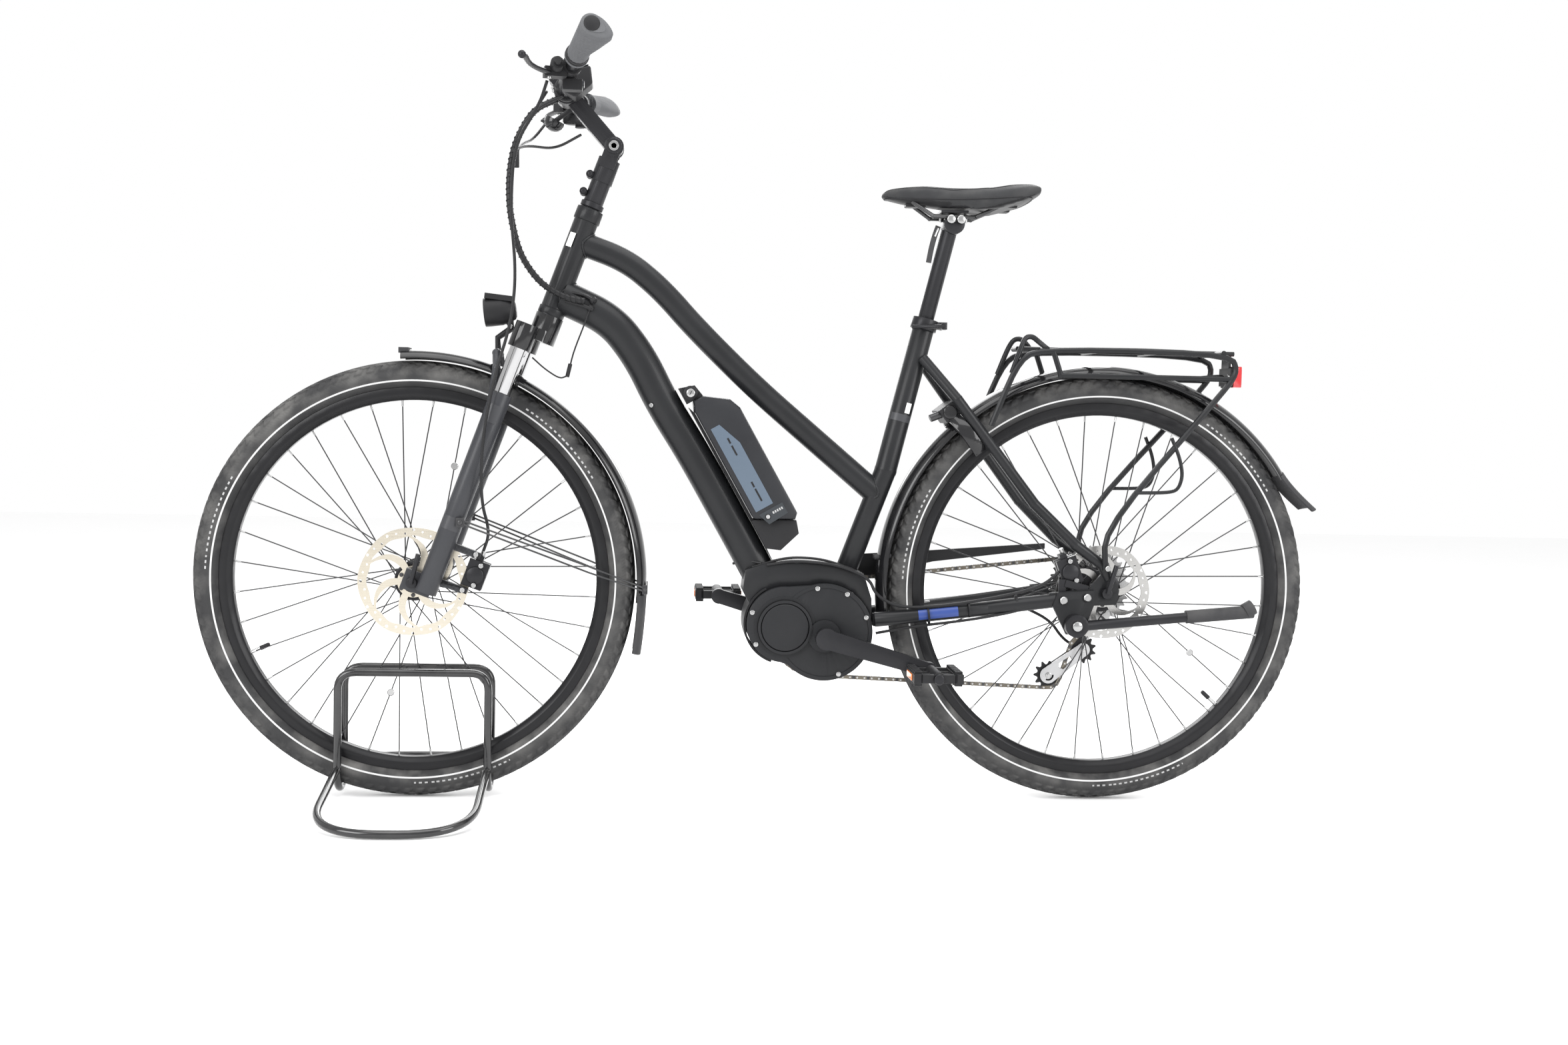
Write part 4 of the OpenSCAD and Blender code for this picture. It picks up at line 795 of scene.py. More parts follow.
def makeCassette():
    shape = Shape()
    for i, teeth in enumerate([34, 30, 26, 23, 20, 17, 14, 11]):
        y = 36 + 4 * i
        r = pitchR(teeth) - 4.3
        loops = [toothLoop(rearX, axleZ, teeth, i * 0.1), circle(rearX, axleZ, 14.3, 40)]
        if r > 34:
            ring = 6
            for k in range(ring):
                a = 2 * math.pi * k / ring + i * 0.15
                rr = (r - 4 + 20) / 2
                loops.append(circle(rearX + rr * math.cos(a), axleZ + rr * math.sin(a), (r - 27) / 2.6, 16))
        shape.plate(loops, (y - 0.9, y + 0.9))
        if i < 7:
            shape.plate([circle(rearX, axleZ, 17, 40), circle(rearX, axleZ, 14.3, 40)], (y + 0.9, y + 3.1),
                mark=1)
    shape.plate([circle(rearX, axleZ, 17, 24), circle(rearX, axleZ, 14.3, 40)], (64.9, 65.4), mark=1)
    shape.build("sprocketStack", ["boltSteel", "darkSteel"], "cassette", "steel", stands=["cassette"])


makeCassette()
for label, node in (("guideWheel", "guide_pulley"), ("tensionWheel", "tension_pulley")):
    px, pz = bike["upperPulley"] if node == "guide_pulley" else bike["lowerPulley"]
    wheel = Shape()
    wheel.plate([toothLoop(px, pz, 11, 0, 0.8), circle(px, pz, 7, 24)] +
                [circle(px + 11 * math.cos(a), pz + 11 * math.sin(a), 1.9, 12) for a in np.linspace(0,
                    2 * math.pi, 6)[:5]], (42.5, 45.5))
    wheel.plate([circle(px, pz, 7, 24), circle(px, pz, 3.1, 24)], (39.8, 48.2), mark=1)
    wheel.build(label, ["mouldedBlack", "boltSteel"], node, "black_plastic", stands=[node])
print("drive made")

# Frame tubes, hoses and what they carry
topPath = [steered(-2, 0, 982), (frontX + 338, 0, 895), (frontX + 396, 0, 849), (frontX + 455, 0, 785),
           (crankX - 122, 0, 692), (crankX - 24, 0, 610), (crankX + 72, 0, 530), (crankX + 88, 0, 516)]
downPath = [steered(8, 0, 889), (frontX + 314, 0, 797), (frontX + 362, 0, 737), (frontX + 401, 0, 660),
            (crankX - 220, 0, 577), (crankX - 153, 0, 460), (crankX - 103, 0, 372)]
tubeSettings = {"topTube": (topPath, 18, 20, "top_tube"), "downTube": (downPath, 26.6, 28.7, "down_tube")}
for label, (path, w, h, node) in tubeSettings.items():
    shape = Shape()
    shape.tube(rounded(path, 12), (w, h), 56)
    shape.build(label, "satinFrame", "frame", "frame_paint", stands=[node])


def weldBead(shape, path, w, h, origin, axis, radius, size=2.3):
    # bead of small ripples where an oval tube meets a round one
    path = [Vector(p) for p in path]
    d = (path[0] - path[1]).normalized()
    across = Vector((0, 1, 0))
    up = d.cross(across)
    axis = Vector(axis).normalized()
    ring = []
    for k in range(96):
        c = 2 * math.pi * k / 96
        p = path[1] + across * (w * math.cos(c)) + up * (h * math.sin(c))
        rel = p - Vector(origin)
        m, n = rel - axis * rel.dot(axis), d - axis * d.dot(axis)
        a, b, cc = n.dot(n), 2 * m.dot(n), m.dot(m) - radius * radius
        disc = b * b - 4 * a * cc
        t = (-b - math.sqrt(disc)) / (2 * a) if disc > 0 else -b / (2 * a)
        ring.append(p + d * t)
    sizes = [size * (0.86 + 0.2 * abs(math.sin(k * math.pi / 2.0 * 1.3))) for k in range(96)]
    shape.tube(ring, sizes, 8, closed=True, side=tuple(axis))


welds = Shape()
steerAxis = (math.sin(bike["lean"]), 0, math.cos(bike["lean"]))
weldBead(welds, rounded(topPath, 4)[:2], 18, 20, steered(0, 0, 900), steerAxis, 20)
weldBead(welds, rounded(downPath, 4)[:2], 19.4, 28.7, steered(0, 0, 900), steerAxis, 20)
weldBead(welds, [(crankX + 72, 0, 530), (crankX - 24, 0, 610)], 18, 20, onSeat(500),
    onSeat(600) - onSeat(500), 18.5)
welds.build("weldBeads", "satinFrame", "frame", "frame_paint", sharp=80)

cups = Shape()
for s, r, h in ((851, 21.4, 6), (1028, 21.6, 5), (1041, 19.2, 9), (1051, 16.2, 3), (1055, 16.2, 3)):
    cups.lathe(steered(0, 0, s), steerAxis, [(0, r - 0.8), (0.8, r), (h - 0.8, r), (h, r - 0.8)], 48)
cups.build("headsetRings", "blackAlloy", "frame", "black_alloy")


def sleevePatch(name, a, b, r, fromDeg, toDeg, material, body, slot):
    # thin label that follows a round tube; 0 degrees is the left side, 90 is up
    a, b = Vector(a), Vector(b)
    t = (b - a).normalized()
    left = Vector((0, -1, 0))
    left = (left - t * left.dot(t)).normalized()
    up = Vector((0, 0, 1)) if abs(t.z) < 0.8 else Vector((-1, 0, 0))
    up = (up - t * up.dot(t)).normalized()
    n = 14
    verts, faces = [], []
    for layer in (0.1, 0.35):
        for p in (a, b):
            for k in range(n):
                c = math.radians(fromDeg + (toDeg - fromDeg) * k / (n - 1))
                verts.append(p + (left * math.cos(c) + up * math.sin(c)) * (r + layer))
    for k in range(n - 1):
        faces.append((2 * n + k, 2 * n + k + 1, 3 * n + k + 1, 3 * n + k))
        faces.append((k, n + k, n + k + 1, k + 1))
    shape = Shape()
    shape.put(verts, faces)
    shape.put([verts[i] for i in (0, n - 1, 2 * n - 1, n, 2 * n, 3 * n - 1, 4 * n - 1, 3 * n)],
              [(0, 3, 7, 4), (1, 5, 6, 2)])
    return shape.build(name, material, body, slot)


sleevePatch("headLabel", steered(0, 0, 968), steered(0, 0, 992), 22.9, 17, 44, "labelWhite", "frame",
    "frame_paint")
sleevePatch("stayLabel", (247, -53.9, 317.6), (313, -56.9, 325.4), 12.1, -32, 50, "labelBlank", "frame",
    "frame_paint")
sleevePatch("seatTubeLabel", onSeat(655), onSeat(672), 18.5, -40, -10, "labelWhite", "frame", "frame_paint")
sleevePatch("seatTubeBand", onSeat(640), onSeat(652), 18.5, -60, 60, "paintGrey", "frame", "frame_paint")
for label, s0, s1, d0, d1, m in (("farStrip", 560, 640, -20, 25, "stickerYellow"),
        ("legMark", 655, 685, -30, 30, "paintGrey"),
                                 ("legBand", 470, 492, -55, 55, "paintGrey")):
    side = 1 if label == "farStrip" else -1
    sleevePatch(label, steered(-23, side * 66, s0), steered(-23, side * 66, s1), 17.5, d0, d1, m,
        "fork_lowers", "fork_grey")

# cable loom, with a spiral wrap, split where the stem moves apart from the steering
loomPath = rounded([(-362, -30, 1148), (-400, -34, 1130), (-428, -46, 1075), (-436, -56, 1020),
    (-434, -58, 960),
                    (-418, -52, 895), (-385, -46, 850), (-346, -40, 829), (-314, -34.5, 824)], 9)
hosePath = rounded([barBend.lerp(barEnd, 55 / 215) + Vector((-40, 16, -23.3)),
    barBend.lerp(barEnd, 55 / 215) + Vector((-52, 28, -58)),
                    (-424, -110, 1060), (-430, -92, 960), (-420, -88, 860), (-428, -88, 780),
                        (-452, -90, 700),
                    (-470, -94, 600), (-472, -92, 500), steered(38, -48, 486), steered(38, -40, 447.2)], 9)


def resample(path, step):
    out, left = [path[0]], 0.0
    for a, b in zip(path, path[1:]):
        d = (b - a).length
        while left + step <= d:
            left += step
            out.append(a.lerp(b, left / d))
        left -= d
    return out + [path[-1]]


def helix(path, radius, pitch, step=0.7):
    path = resample(path, step)
    across = Vector((0, 1, 0))
    out = []
    for i, p in enumerate(path):
        t = (path[min(i + 1, len(path) - 1)] - path[max(i - 1, 0)]).normalized()
        across = (across - t * across.dot(t)).normalized()
        c = 2 * math.pi * i * step / pitch
        out.append(p + (across * math.cos(c) + t.cross(across) * math.sin(c)) * radius)
    return out


def makeHose(name, path, r, cut, bodies, wrap=0, material="hoseBlack"):
    # two pieces, above and below the cut height
    upper = [p for p in path if p.z >= cut]
    lower = [upper[-1]] + [p for p in path if p.z < cut]
    made = []
    for part, pts, pair in (("Upper", upper, bodies[:2]), ("Lower", lower, bodies[1:])):
        pts = resample(pts, 5)
        shape = Shape()
        shape.tube(pts, r, 14)
        if wrap:
            shape.tube(helix(pts, r + 0.45, wrap), (0.95, 0.6), 6, mark=1)
        mesh = bpy.data.meshes.new(name + part)
        mesh.from_pydata([(x * mm, y * mm, z * mm) for x, y, z in shape.verts], [], shape.faces)
        mesh.materials.append(finish[material])
        mesh.materials.append(finish["mouldedBlack"])
        mesh.polygons.foreach_set("material_index", shape.marks)
        mesh.shade_smooth()
        obj = bpy.data.objects.new(name + part, mesh)
        scene.collection.objects.link(obj)
        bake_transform(obj)
        made.append(obj)
    return made


loom = makeHose("loom", loomPath, 5.0, 1018, ("bars", "steering", "frame"), wrap=9)
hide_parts("cable_loom")
hose = makeHose("brakeHose", hosePath, 2.5, 960, ("bars", "steering", "fork_lowers"))
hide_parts("front_hose")

fixedHoses = Shape()
hoseSettings = [
    ([(-345, -31, 824), (-318, -30, 818), (-300, -27.5, 811)], 3.2),
        ([(-335, -22, 838), (-312, -27, 834), (-296, -26.5, 824)], 2.6),
    ([(-6, -38, 397), (40, -40, 405), (110, -44, 400), (165, -46, 378), (176, -50, 350), (215, -60, 330),
        (300, -64, 336), (400, -70, 356), (455, -66, 372), (484, -60, 396)], 2.6),
    ([(-30, -30, 392), (30, -36, 411), (90, -38, 408), (140, -40, 390)], 2.2),
    ([(178, -46, 286), (240, -60, 300), (330, -66, 312), (420, -70, 330), (462, -66, 352)], 2.4),
    ([(380, 70, 338), (450, 76, 322), (505, 84, 296), (530, 86, 262), (556, 76, 248)], 2.6),
    ([(-60, 0, 395), (-40, -20, 402), (-14, -32, 399)], 2.2),
    ([(690, -20, 722), (740, -22, 728), (764, -10, 730), (772, 0, 728)], 1.6),
]
for pts, r in hoseSettings:
    fixedHoses.tube(rounded(pts, 8), r, 12)
for p in ((-303, -26.3, 812), (-299, -25.5, 825)):
    fixedHoses.lathe(p, (0.6, -0.5, -0.6), [(-3, 6.6), (1.5, 6.2), (3, 4.4)], 24, 1)
for x in (262, 330, 410):
    fixedHoses.lathe((x, -59, 318 + (x - 262) * 0.16), (1, -0.04, 0.12), [(0, 13.6), (3.2, 13.6)], 28, 1)
fixedHoses.build("frameHoses", ["hoseBlack", "mouldedBlack"], "frame", "rubber")

lampCable = Shape()
lampCable.tube(rounded([(-303, -27, 818), (-312, -29, 790), (-330, -30, 742), (-336, -30, 716)], 8), 1.3, 10)
lampCable.rod((-335, -30, 722), (-340, -30, 700), 3.4, 14, 1, 1)
lampCable.tube(rounded([(-340, -30, 702), (-352, -28, 697), (-376, -34, 712), (-396, -44, 730)], 8), 1.3, 10)
lampCable.build("lampCable", ["hoseBlack", "mouldedBlack"], "frame", "rubber")

upperCable = Shape()
for k, pts in enumerate([
        [(-372, -138, 1140), (-392, -120, 1112), (-412, -84, 1098), (-424, -56, 1080)],
        [(-330, 128, 1118), (-372, 100, 1088), (-412, 20, 1080), (-426, -38, 1066)],
        [(-352, -48, 1150), (-376, -44, 1140), (-398, -38, 1128)],
        [(-388, 138, 1140), (-410, 110, 1104), (-424, 40, 1086), (-430, -36, 1050)]]):
    upperCable.tube(rounded(pts, 8), 2.3 if k else 2.0, 10)
upperCable.rod((-424, -60, 1002 + 30), (-424, -66, 1060), 4.6, 16, 1, 1)
upperCable.build("barCables", ["hoseBlack", "mouldedBlack"], "bars", "rubber")
print("tubes and hoses made")

# Looks of the solids that carry over


def legShare(p):
    a, b = Vector((rearX - 54, -91.5, 308)), Vector((rearX + 244, -95.5, 336))
    return (p - a).dot(b - a) / (b - a).length_squared


def alongSteer(p):
    return p.x * steerAxis[0] + p.z * steerAxis[2] - bike["steerX"] * steerAxis[0]


nodeSettings = {
    "head_tube": ("satinFrame", None, 1.0), "seat_tube": ("satinFrame", None, 0.8),
        "motor_bracket": ("satinFrame", None, 3.0),
    "chain_stays": ("satinFrame", None, 0.8), "seat_stays": ("satinFrame", None, 0),
        "rack": ("satinFrame", None, 0),
    "motor_housing": (["motorShell", "mouldedBlack"], lambda p: 1 if p.y < -52.5 else 0, 3.0),
    "battery_dock": ("mouldedBlack", None, 2.0), "battery": ("batteryShell", None, 5.0),
        "battery_key": ("silverAlloy", None, 0.6),
    "rear_mudguard": ("glossBlack", None, 0), "front_mudguard": ("glossBlack", None, 0),
    "tail_lamp": (["mouldedBlack", "redLens"], lambda p: 1 if p.x > rearX + 222 else 0, 2.5),
    "ring_lock": ("glossBlack", None, 3.0), "chain_guard": ("mouldedBlack", None, 1.0),
    "rear_axle": ("blackAlloy", None, 0.8), "front_axle": ("blackAlloy", None, 0.8),
    "seat_collar": ("blackAlloy", None, 1.0), "seat_lever": ("blackAlloy", None, 0.8),
        "seat_post": ("blackAlloy", None, 0.8),
    "saddle_frame": ("darkSteel", None, 0), "kickstand_leg": (["blackAlloy", "softRubber"],
        lambda p: 1 if legShare(p) > 0.6 else 0, 2.0),
    "crank_set": ("blackAlloy", None, 3.0), "rear_hub": ("blackAlloy", None, 0.8),
        "front_hub": ("blackAlloy", None, 0.8),
    "front_rim": ("rimBlack", None, 0.4), "rear_rim": ("rimBlack", None, 0.4),
    "front_spokes": ("spokeBlack", None, 0), "rear_spokes": ("spokeBlack", None, 0),
    "fork_crown": (["glossBlack", "chromeTube"], lambda p: 1 if alongSteer(p) < 783 - 1 else 0, 2.5),
    "stem_base": ("blackAlloy", None, 1.5), "stem_arm": ("blackAlloy", None, 2.5),
        "handlebar": ("blackAlloy", None, 0),
    "controls": ("mouldedBlack", None, 2.0), "shift_lever": ("mouldedBlack", None, 0.8),
    "fork_lowers": ("satinGrey", None, 1.5), "brake_lever_left": ("blackAlloy", None, 1.0),
        "brake_lever_right": ("blackAlloy", None, 1.0),
    "derailleur": ("silverAlloy", None, 0.6), "rear_caliper": ("blackAlloy", None, 3.0),
        "front_caliper": ("blackAlloy", None, 3.0),
    "headlamp": ("mouldedBlack", None, 1.5),
}
for node, (mats, test, bevel) in nodeSettings.items():
    paintNode(node, mats, test, bevel)
print("solids painted")

# Mudguards
guardSettings = {
    "frontGuard": {"x": frontX, "from": -5, "to": 94, "body": "fork_lowers", "node": "front_mudguard",
        "flap": (-5, -18, 10)},
    "rearGuard": {"x": rearX, "from": 32, "to": 188, "body": "frame", "node": "rear_mudguard",
        "flap": (32, 21, 26)},
}


def guardGrid(shape, x, angles, radii, halfW, drop, thick, mark=0):
    section = []
    for k in range(17):
        t = math.radians(-88 + 11 * k)
        section.append((math.sin(t) * halfW, -drop * (1 - math.cos(t)) + (0.5 if k in (0, 16) else 0)))
    section += [(y * (1 - thick / halfW), d - thick) for y, d in reversed(section)]
    n = len(section)
    verts, faces = [], []
    for a, r in zip(angles, radii):
        for y, d in section:
            verts.append((x + (r + d) * math.cos(a), y, axleZ + (r + d) * math.sin(a)))
    for i in range(len(angles) - 1):
        for k in range(n):
            faces.append((i * n + k, i * n + (k + 1) % n, (i + 1) * n + (k + 1) % n, (i + 1) * n + k))
    last = (len(angles) - 1) * n
    for k in range(n // 2 - 1):
        faces.append((k, k + 1, n - 2 - k, n - 1 - k))
        faces.append((last + k + 1, last + k, last + n - 1 - k, last + n - 2 - k))
    shape.put(verts, faces, mark)


for label, s in guardSettings.items():
    shape = Shape()
    angles = np.radians(np.linspace(s["from"], s["to"], 150))
    guardGrid(shape, s["x"], angles, [379.6] * 150, 31, 16, 1.6)
    a0, a1, flare = s["flap"]
    turns = np.radians(np.linspace(a0 + (2 if a0 < 0 else 1), a1, 14))
    lift = [380.6 + flare * (k / 13) ** 1.8 for k in range(14)]
    guardGrid(shape, s["x"], turns, lift, 32.4, 14, 2.4, 1)
    if label == "frontGuard":
        def wires():
            for dz in (-5, 5):
                shape.tube([(-503, -85, 462 + dz * 0.6), (-498, -84, 461 + dz * 0.6), (-300, -50, 386 + dz),
                    (-206, -33, 351 + dz * 0.5)], 1.55, 10, 2)
            shape.box((-505, -84.5, 462), (13, 5, 15), mark=1)
            hexBolt(shape, (-505, -86.5, 462), (0, -1, 0), 3.6, 2.4, 2)
            shape.box((-207, -33.4, 352), (9, 4.5, 15), mark=1)
            hexBolt(shape, (-207, -35.5, 352), (0, -1, 0), 2.8, 1.8, 2)
        shape.both(wires)
        shape.box((-606, 0, 738), (16, 40, 9), mark=1)
    else:
        for z, y in ((410, -24), (410, 24)):
            shape.rod((206, y * 0.4, z + 3), (178, y * 0.4, z), 4, 14, 1)
    shape.build(label, ["glossBlack", "softRubber", "darkSteel"], s["body"], "guard_gloss", sharp=50,
        stands=[s["node"]])
print("mudguards made")

# Saddle and grips
saddleSettings = {
    "noseX": 172.3, "length": 262, "frames": 18, "pressure": 3.0, "travel": 4,
    "stations": [(0, 5, 1016, 1012), (0.015, 13, 1021, 1010), (0.05, 19, 1025.5, 1008),
        (0.15, 23, 1028.5, 1005), (0.3, 27, 1028, 1002),
                 (0.45, 34, 1026, 997), (0.58, 47, 1025.5, 993), (0.7, 66, 1027, 991), (0.8, 83, 1030, 995),
                 (0.88, 92, 1032.5, 1002), (0.94, 92, 1033.5, 1010), (0.98, 80, 1033, 1016),
                     (1.0, 52, 1031, 1020)],
}


def saddleBase(s):
    rows = s["stations"]
    us = [r[0] for r in rows]
    verts, faces = [], []
    n, around = 44, 48
    for i in range(n):
        u = (i / (n - 1)) ** 1.0
        w, top, low = (float(np.interp(u, us, [r[k] for r in rows])) for k in (1, 2, 3))
        x = s["noseX"] + s["length"] * u
        for k in range(around):
            c = 2 * math.pi * k / around
            cy, cz = math.cos(c), math.sin(c)
            y = w * math.copysign(abs(cy) ** 0.72, cy)
            edge = top - (top - low) * 0.42
            if cz >= 0:
                z = edge + (top - edge) * abs(cz) ** 0.62
                z -= 3.2 * math.exp(-(y / 10) ** 2) * max(0,
                    math.sin(math.pi * min(1, max(0, (u - 0.3) / 0.65))))
            else:
                z = max(edge - (edge - low) * abs(cz) ** 0.35, 1000 if abs(cy) < 0.7 else 0)
            verts.append((x, y, z))
    for i in range(n - 1):
        for k in range(around):
            faces.append((i * around + k, i * around + (k + 1) % around,
                (i + 1) * around + (k + 1) % around, (i + 1) * around + k))
    faces.append(tuple(reversed(range(around))))
    faces.append(tuple((n - 1) * around + k for k in range(around)))
    return verts, faces


def applyAll(obj):
    dg = bpy.context.evaluated_depsgraph_get()
    mesh = bpy.data.meshes.new_from_object(obj.evaluated_get(dg))
    obj.modifiers.clear()
    obj.data = mesh
    return mesh


def softenByCloth(obj, s):
    # puffs the pad a little, as a stretched cover over foam does
    start = np.array([v.co for v in obj.data.vertices])
    cloth = obj.modifiers.new("cloth", "CLOTH")
    cloth.settings.use_pressure = True
    cloth.settings.uniform_pressure_force = s["pressure"]
    cloth.settings.tension_stiffness = cloth.settings.compression_stiffness = 40
    cloth.settings.bending_stiffness = 4
    cloth.settings.effector_weights.gravity = 0
    cloth.point_cache.frame_start, cloth.point_cache.frame_end = 1, s["frames"]
    for f in range(1, s["frames"] + 1):
        scene.frame_set(f)
    mesh = applyAll(obj)
    scene.frame_set(1)
    end = np.array([v.co for v in mesh.vertices])
    if len(end) == len(start):
        move = end - start
        length = np.linalg.norm(move, axis=1, keepdims=True)
        end = start + move * np.minimum(1, s["travel"] * mm / np.maximum(length, 1e-9))
        mesh.vertices.foreach_set("co", end.astype(np.float32).ravel())
        mesh.update()


def makeSaddle(s):
    verts, faces = saddleBase(s)
    shape = Shape()
    shape.put(verts, faces)
    pad = shape.build("saddlePad", "saddleCover", "saddle", "saddle_cover", stands=["saddle_pad"], sharp=180)
    pad.parent = None
    remesh = pad.modifiers.new("even", "REMESH")
    remesh.mode, remesh.voxel_size = "VOXEL", 0.004
    smooth = pad.modifiers.new("ease", "SMOOTH")
    smooth.factor, smooth.iterations = 0.6, 6
    applyAll(pad)
    softenByCloth(pad, s)
    sub = pad.modifiers.new("fine", "SUBSURF")
    sub.levels = sub.render_levels = 1
    applyAll(pad)
    mesh = pad.data
    mesh.materials.clear()
    for m in ("saddleCover", "saddleShell", "paintGrey"):
        mesh.materials.append(finish[m])
    number = np.zeros(len(mesh.polygons), int)
    for i, f in enumerate(mesh.polygons):
        if f.normal.z < -0.55:
            number[i] = 1
    mesh.polygons.foreach_set("material_index", number)
    mesh.shade_smooth()
    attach(pad, "saddle")
    return pad


saddlePad = makeSaddle(saddleSettings)


def onSurface(obj, p, toward):
    hit, place, normal, _ = obj.ray_cast(Vector(p) * mm, Vector(toward))
    return (place / mm, normal) if hit else (Vector(p), -Vector(toward))


def saddleSeams():
    shape = Shape()
    for side in (-1, 1):
        line = []
        for k in range(60):
            u = 0.03 + 0.94 * k / 59
            w = float(np.interp(u, [0, 0.05, 0.3, 0.58, 0.75, 0.9, 1], [3, 12, 18, 30, 50, 66, 60]))
            x = saddleSettings["noseX"] + saddleSettings["length"] * u
            p, n = onSurface(saddlePad, (x, side * w, 1100), (0, 0, -1))
            line.append(p + n * 0.12)
        shape.tube(line, 0.75, 8)
    edge = []
    for k in range(120):
        a = 2 * math.pi * k / 120
        centre = Vector((saddleSettings["noseX"] + 150, 0, 1009))
        d = Vector((math.cos(a), math.sin(a), 0))
        p, n = onSurface(saddlePad, centre + d * 400, -d)
        edge.append(p + n * 0.3)
    shape.tube(edge, 1.0, 8, closed=True, mark=1, side=(0, 0, 1))
    shape.build("saddleSeams", ["saddleShell", "mouldedBlack"], "saddle", "saddle_cover", sharp=180)
    base = Shape()
    for x, y in ((232, 0), (380, -30), (380, 30)):
        base.box((x, y, 1001), (34, 22, 9))
    base.build("saddleBase", "saddleShell", "saddle", "black_plastic", bevel=2)


saddleSeams()
seatParts = Shape()
for y in (-1, 1):
    for x in (-22, 34):
        seatParts.lathe((296 + x * 0.3, y * 26, 977), (0, y, 0), [(0, 7.5), (2.5, 7.5), (3.5, 6)], 24, 1)
seatParts.box((296, 0, 990), (46, 46, 5))
seatParts.rod((276, 0, 974), (276, 0, 992), 3.2, 16, 1)
seatParts.rod((318, 0, 974), (318, 0, 992), 3.2, 16, 1)
seatParts.build("railClamp", ["blackAlloy", "boltSteel"], "saddle", "black_alloy", bevel=1)
strap = Shape()
strap.tube(rounded([(270, -12, 966), (264, -15, 950), (259, -15, 930), (255, -14, 905)], 6), (1.3, 4.5), 12)
strap.rod((270, -13, 962), (264, -16, 948), 2.2, 10, 1)
strap.build("seatStrap", ["softRubber", "boltSteel"], "seat_post", "rubber")

gripSettings = {"inner": 197, "outer": 328, "radius": 16.0, "wing": 19, "around": 72, "along": 96}


def gripMesh(shape, s, side):
    a, b = alongBar(s["inner"]), alongBar(s["outer"])
    axis = (b - a).normalized()
    back = Vector((1, 0, -0.42))
    back = (back - axis * back.dot(axis)).normalized()
    up = axis.cross(back)
    verts, faces = [], []
    n, m = s["along"], s["around"]
    for i in range(n):
        u = i / (n - 1)
        for k in range(m):
            c = 2 * math.pi * k / m
            wing = s["wing"] * float(np.interp(u, [0, 0.3, 0.55, 0.85, 0.96, 1],
                [0, 0.08, 0.55, 1, 0.95, 0.7]))
            lobe = max(0.0, math.cos(c)) ** 2.2
            r = s["radius"] + wing * lobe + (2.2 if u < 0.05 else 0)
            flat = 1 - 0.42 * lobe * min(1, wing / 12)
            rib = (
                0.45 * (abs(math.sin(u * 64)) > 0.35) * (abs(math.sin(c * 9 + u * 9)) > 0.3)
                if 0.1 < u < 0.9 and abs(math.cos(c)) < 0.9 else 0.3
            )
            end = min(1, math.sqrt(max(0, 1 - ((u - 0.965) / 0.035) ** 2))) if u > 0.965 else 1
            end = max(end, 0.72)
            cx, cy = math.cos(c) * (r + rib) * end, math.sin(c) * (r + rib) * end * (flat if math.cos(c) > 0 else 1)
            p = a + axis * (u * (b - a).length) + back * cx + up * cy
            verts.append((p.x, p.y * side, p.z))
    for i in range(n - 1):
        for k in range(m):
            q = (i * m + k, i * m + (k + 1) % m, (i + 1) * m + (k + 1) % m, (i + 1) * m + k)
            faces.append(q if side > 0 else q[::-1])
    faces.append(tuple(reversed(range(m))) if side > 0 else tuple(range(m)))
    faces.append(tuple((n - 1) * m + k for k in (range(m) if side > 0 else reversed(range(m)))))
    shape.put(verts, faces)
    shape.lathe(Vector((b.x, b.y * side, b.z)) - Vector((axis.x, axis.y * side, axis.z)) * 1,
                (axis.x, axis.y * side, axis.z), [(0, 12), (1.6, 11.6), (2.4, 10)], 32, 1)
    for q, rr in ((2, 17.4), (10, 16.6)):
        p = a + axis * q
        shape.lathe((p.x, p.y * side, p.z), (axis.x, axis.y * side, axis.z),
            [(-2, rr), (-1, rr + 0.9), (4, rr + 0.9), (5, rr)], 40, 1)


grips = Shape()
for side in (1, -1):
    gripMesh(grips, gripSettings, side)
grips.build("gripPair", ["gripRubber", "mouldedBlack"], "bars", "rubber", stands=["grips"], sharp=50)
print("saddle and grips made")

# Handlebar, controls and stem
bar = Shape()
half = [Vector((barMid.x, y, barMid.z)) for y in (0, -30, -38, -56,
    -80)] + [barBend + Vector((-0.5, 8, -0.6)), barBend, alongBar(118), alongBar(140), alongBar(200),
        alongBar(325)]
radii = [15.9, 15.9, 15.2, 12.4, 11.2, 11.1, 11.1, 11.1, 11.1, 11.1, 11.1]
bar.tube([flip(p) for p in reversed(half[1:])] + half, list(reversed(radii[1:])) + radii, 32, side=(1, 0, 0))
bar.build("handleBar", "blackAlloy", "bars", "black_alloy", stands=["handlebar"])

stem = Shape()
rise = (barMid - pivot).normalized()
frontward = Vector((rise.x, 0, rise.z))
for w in (-1, 1):
    for t in (-1, 1):
        at = barMid + frontward * 18 + Vector((-rise.z, 0, rise.x)) * (t * 13) + Vector((0, w * 13, 0))
        hexBolt(stem, at, frontward, 4.2, 4, 1)
stem.box(barMid + frontward * 11, (22, 40, 44), Matrix.Rotation(math.atan2(rise.x, rise.z), 3, "Y"))
stem.lathe(pivot + Vector((0, -23, 0)), (0, -1, 0), [(0, 13), (2, 13), (3, 12)], 40)
stem.lathe(pivot + Vector((0, -26, 0)), (0, -1, 0), [(0, 8.2), (1.2, 8.2), (1.2, 4.4), (-0.2, 4.2)], 36, 1)
stem.build("stemFace", ["blackAlloy", "boltSteel"], "bars", "black_alloy", bevel=2.4)

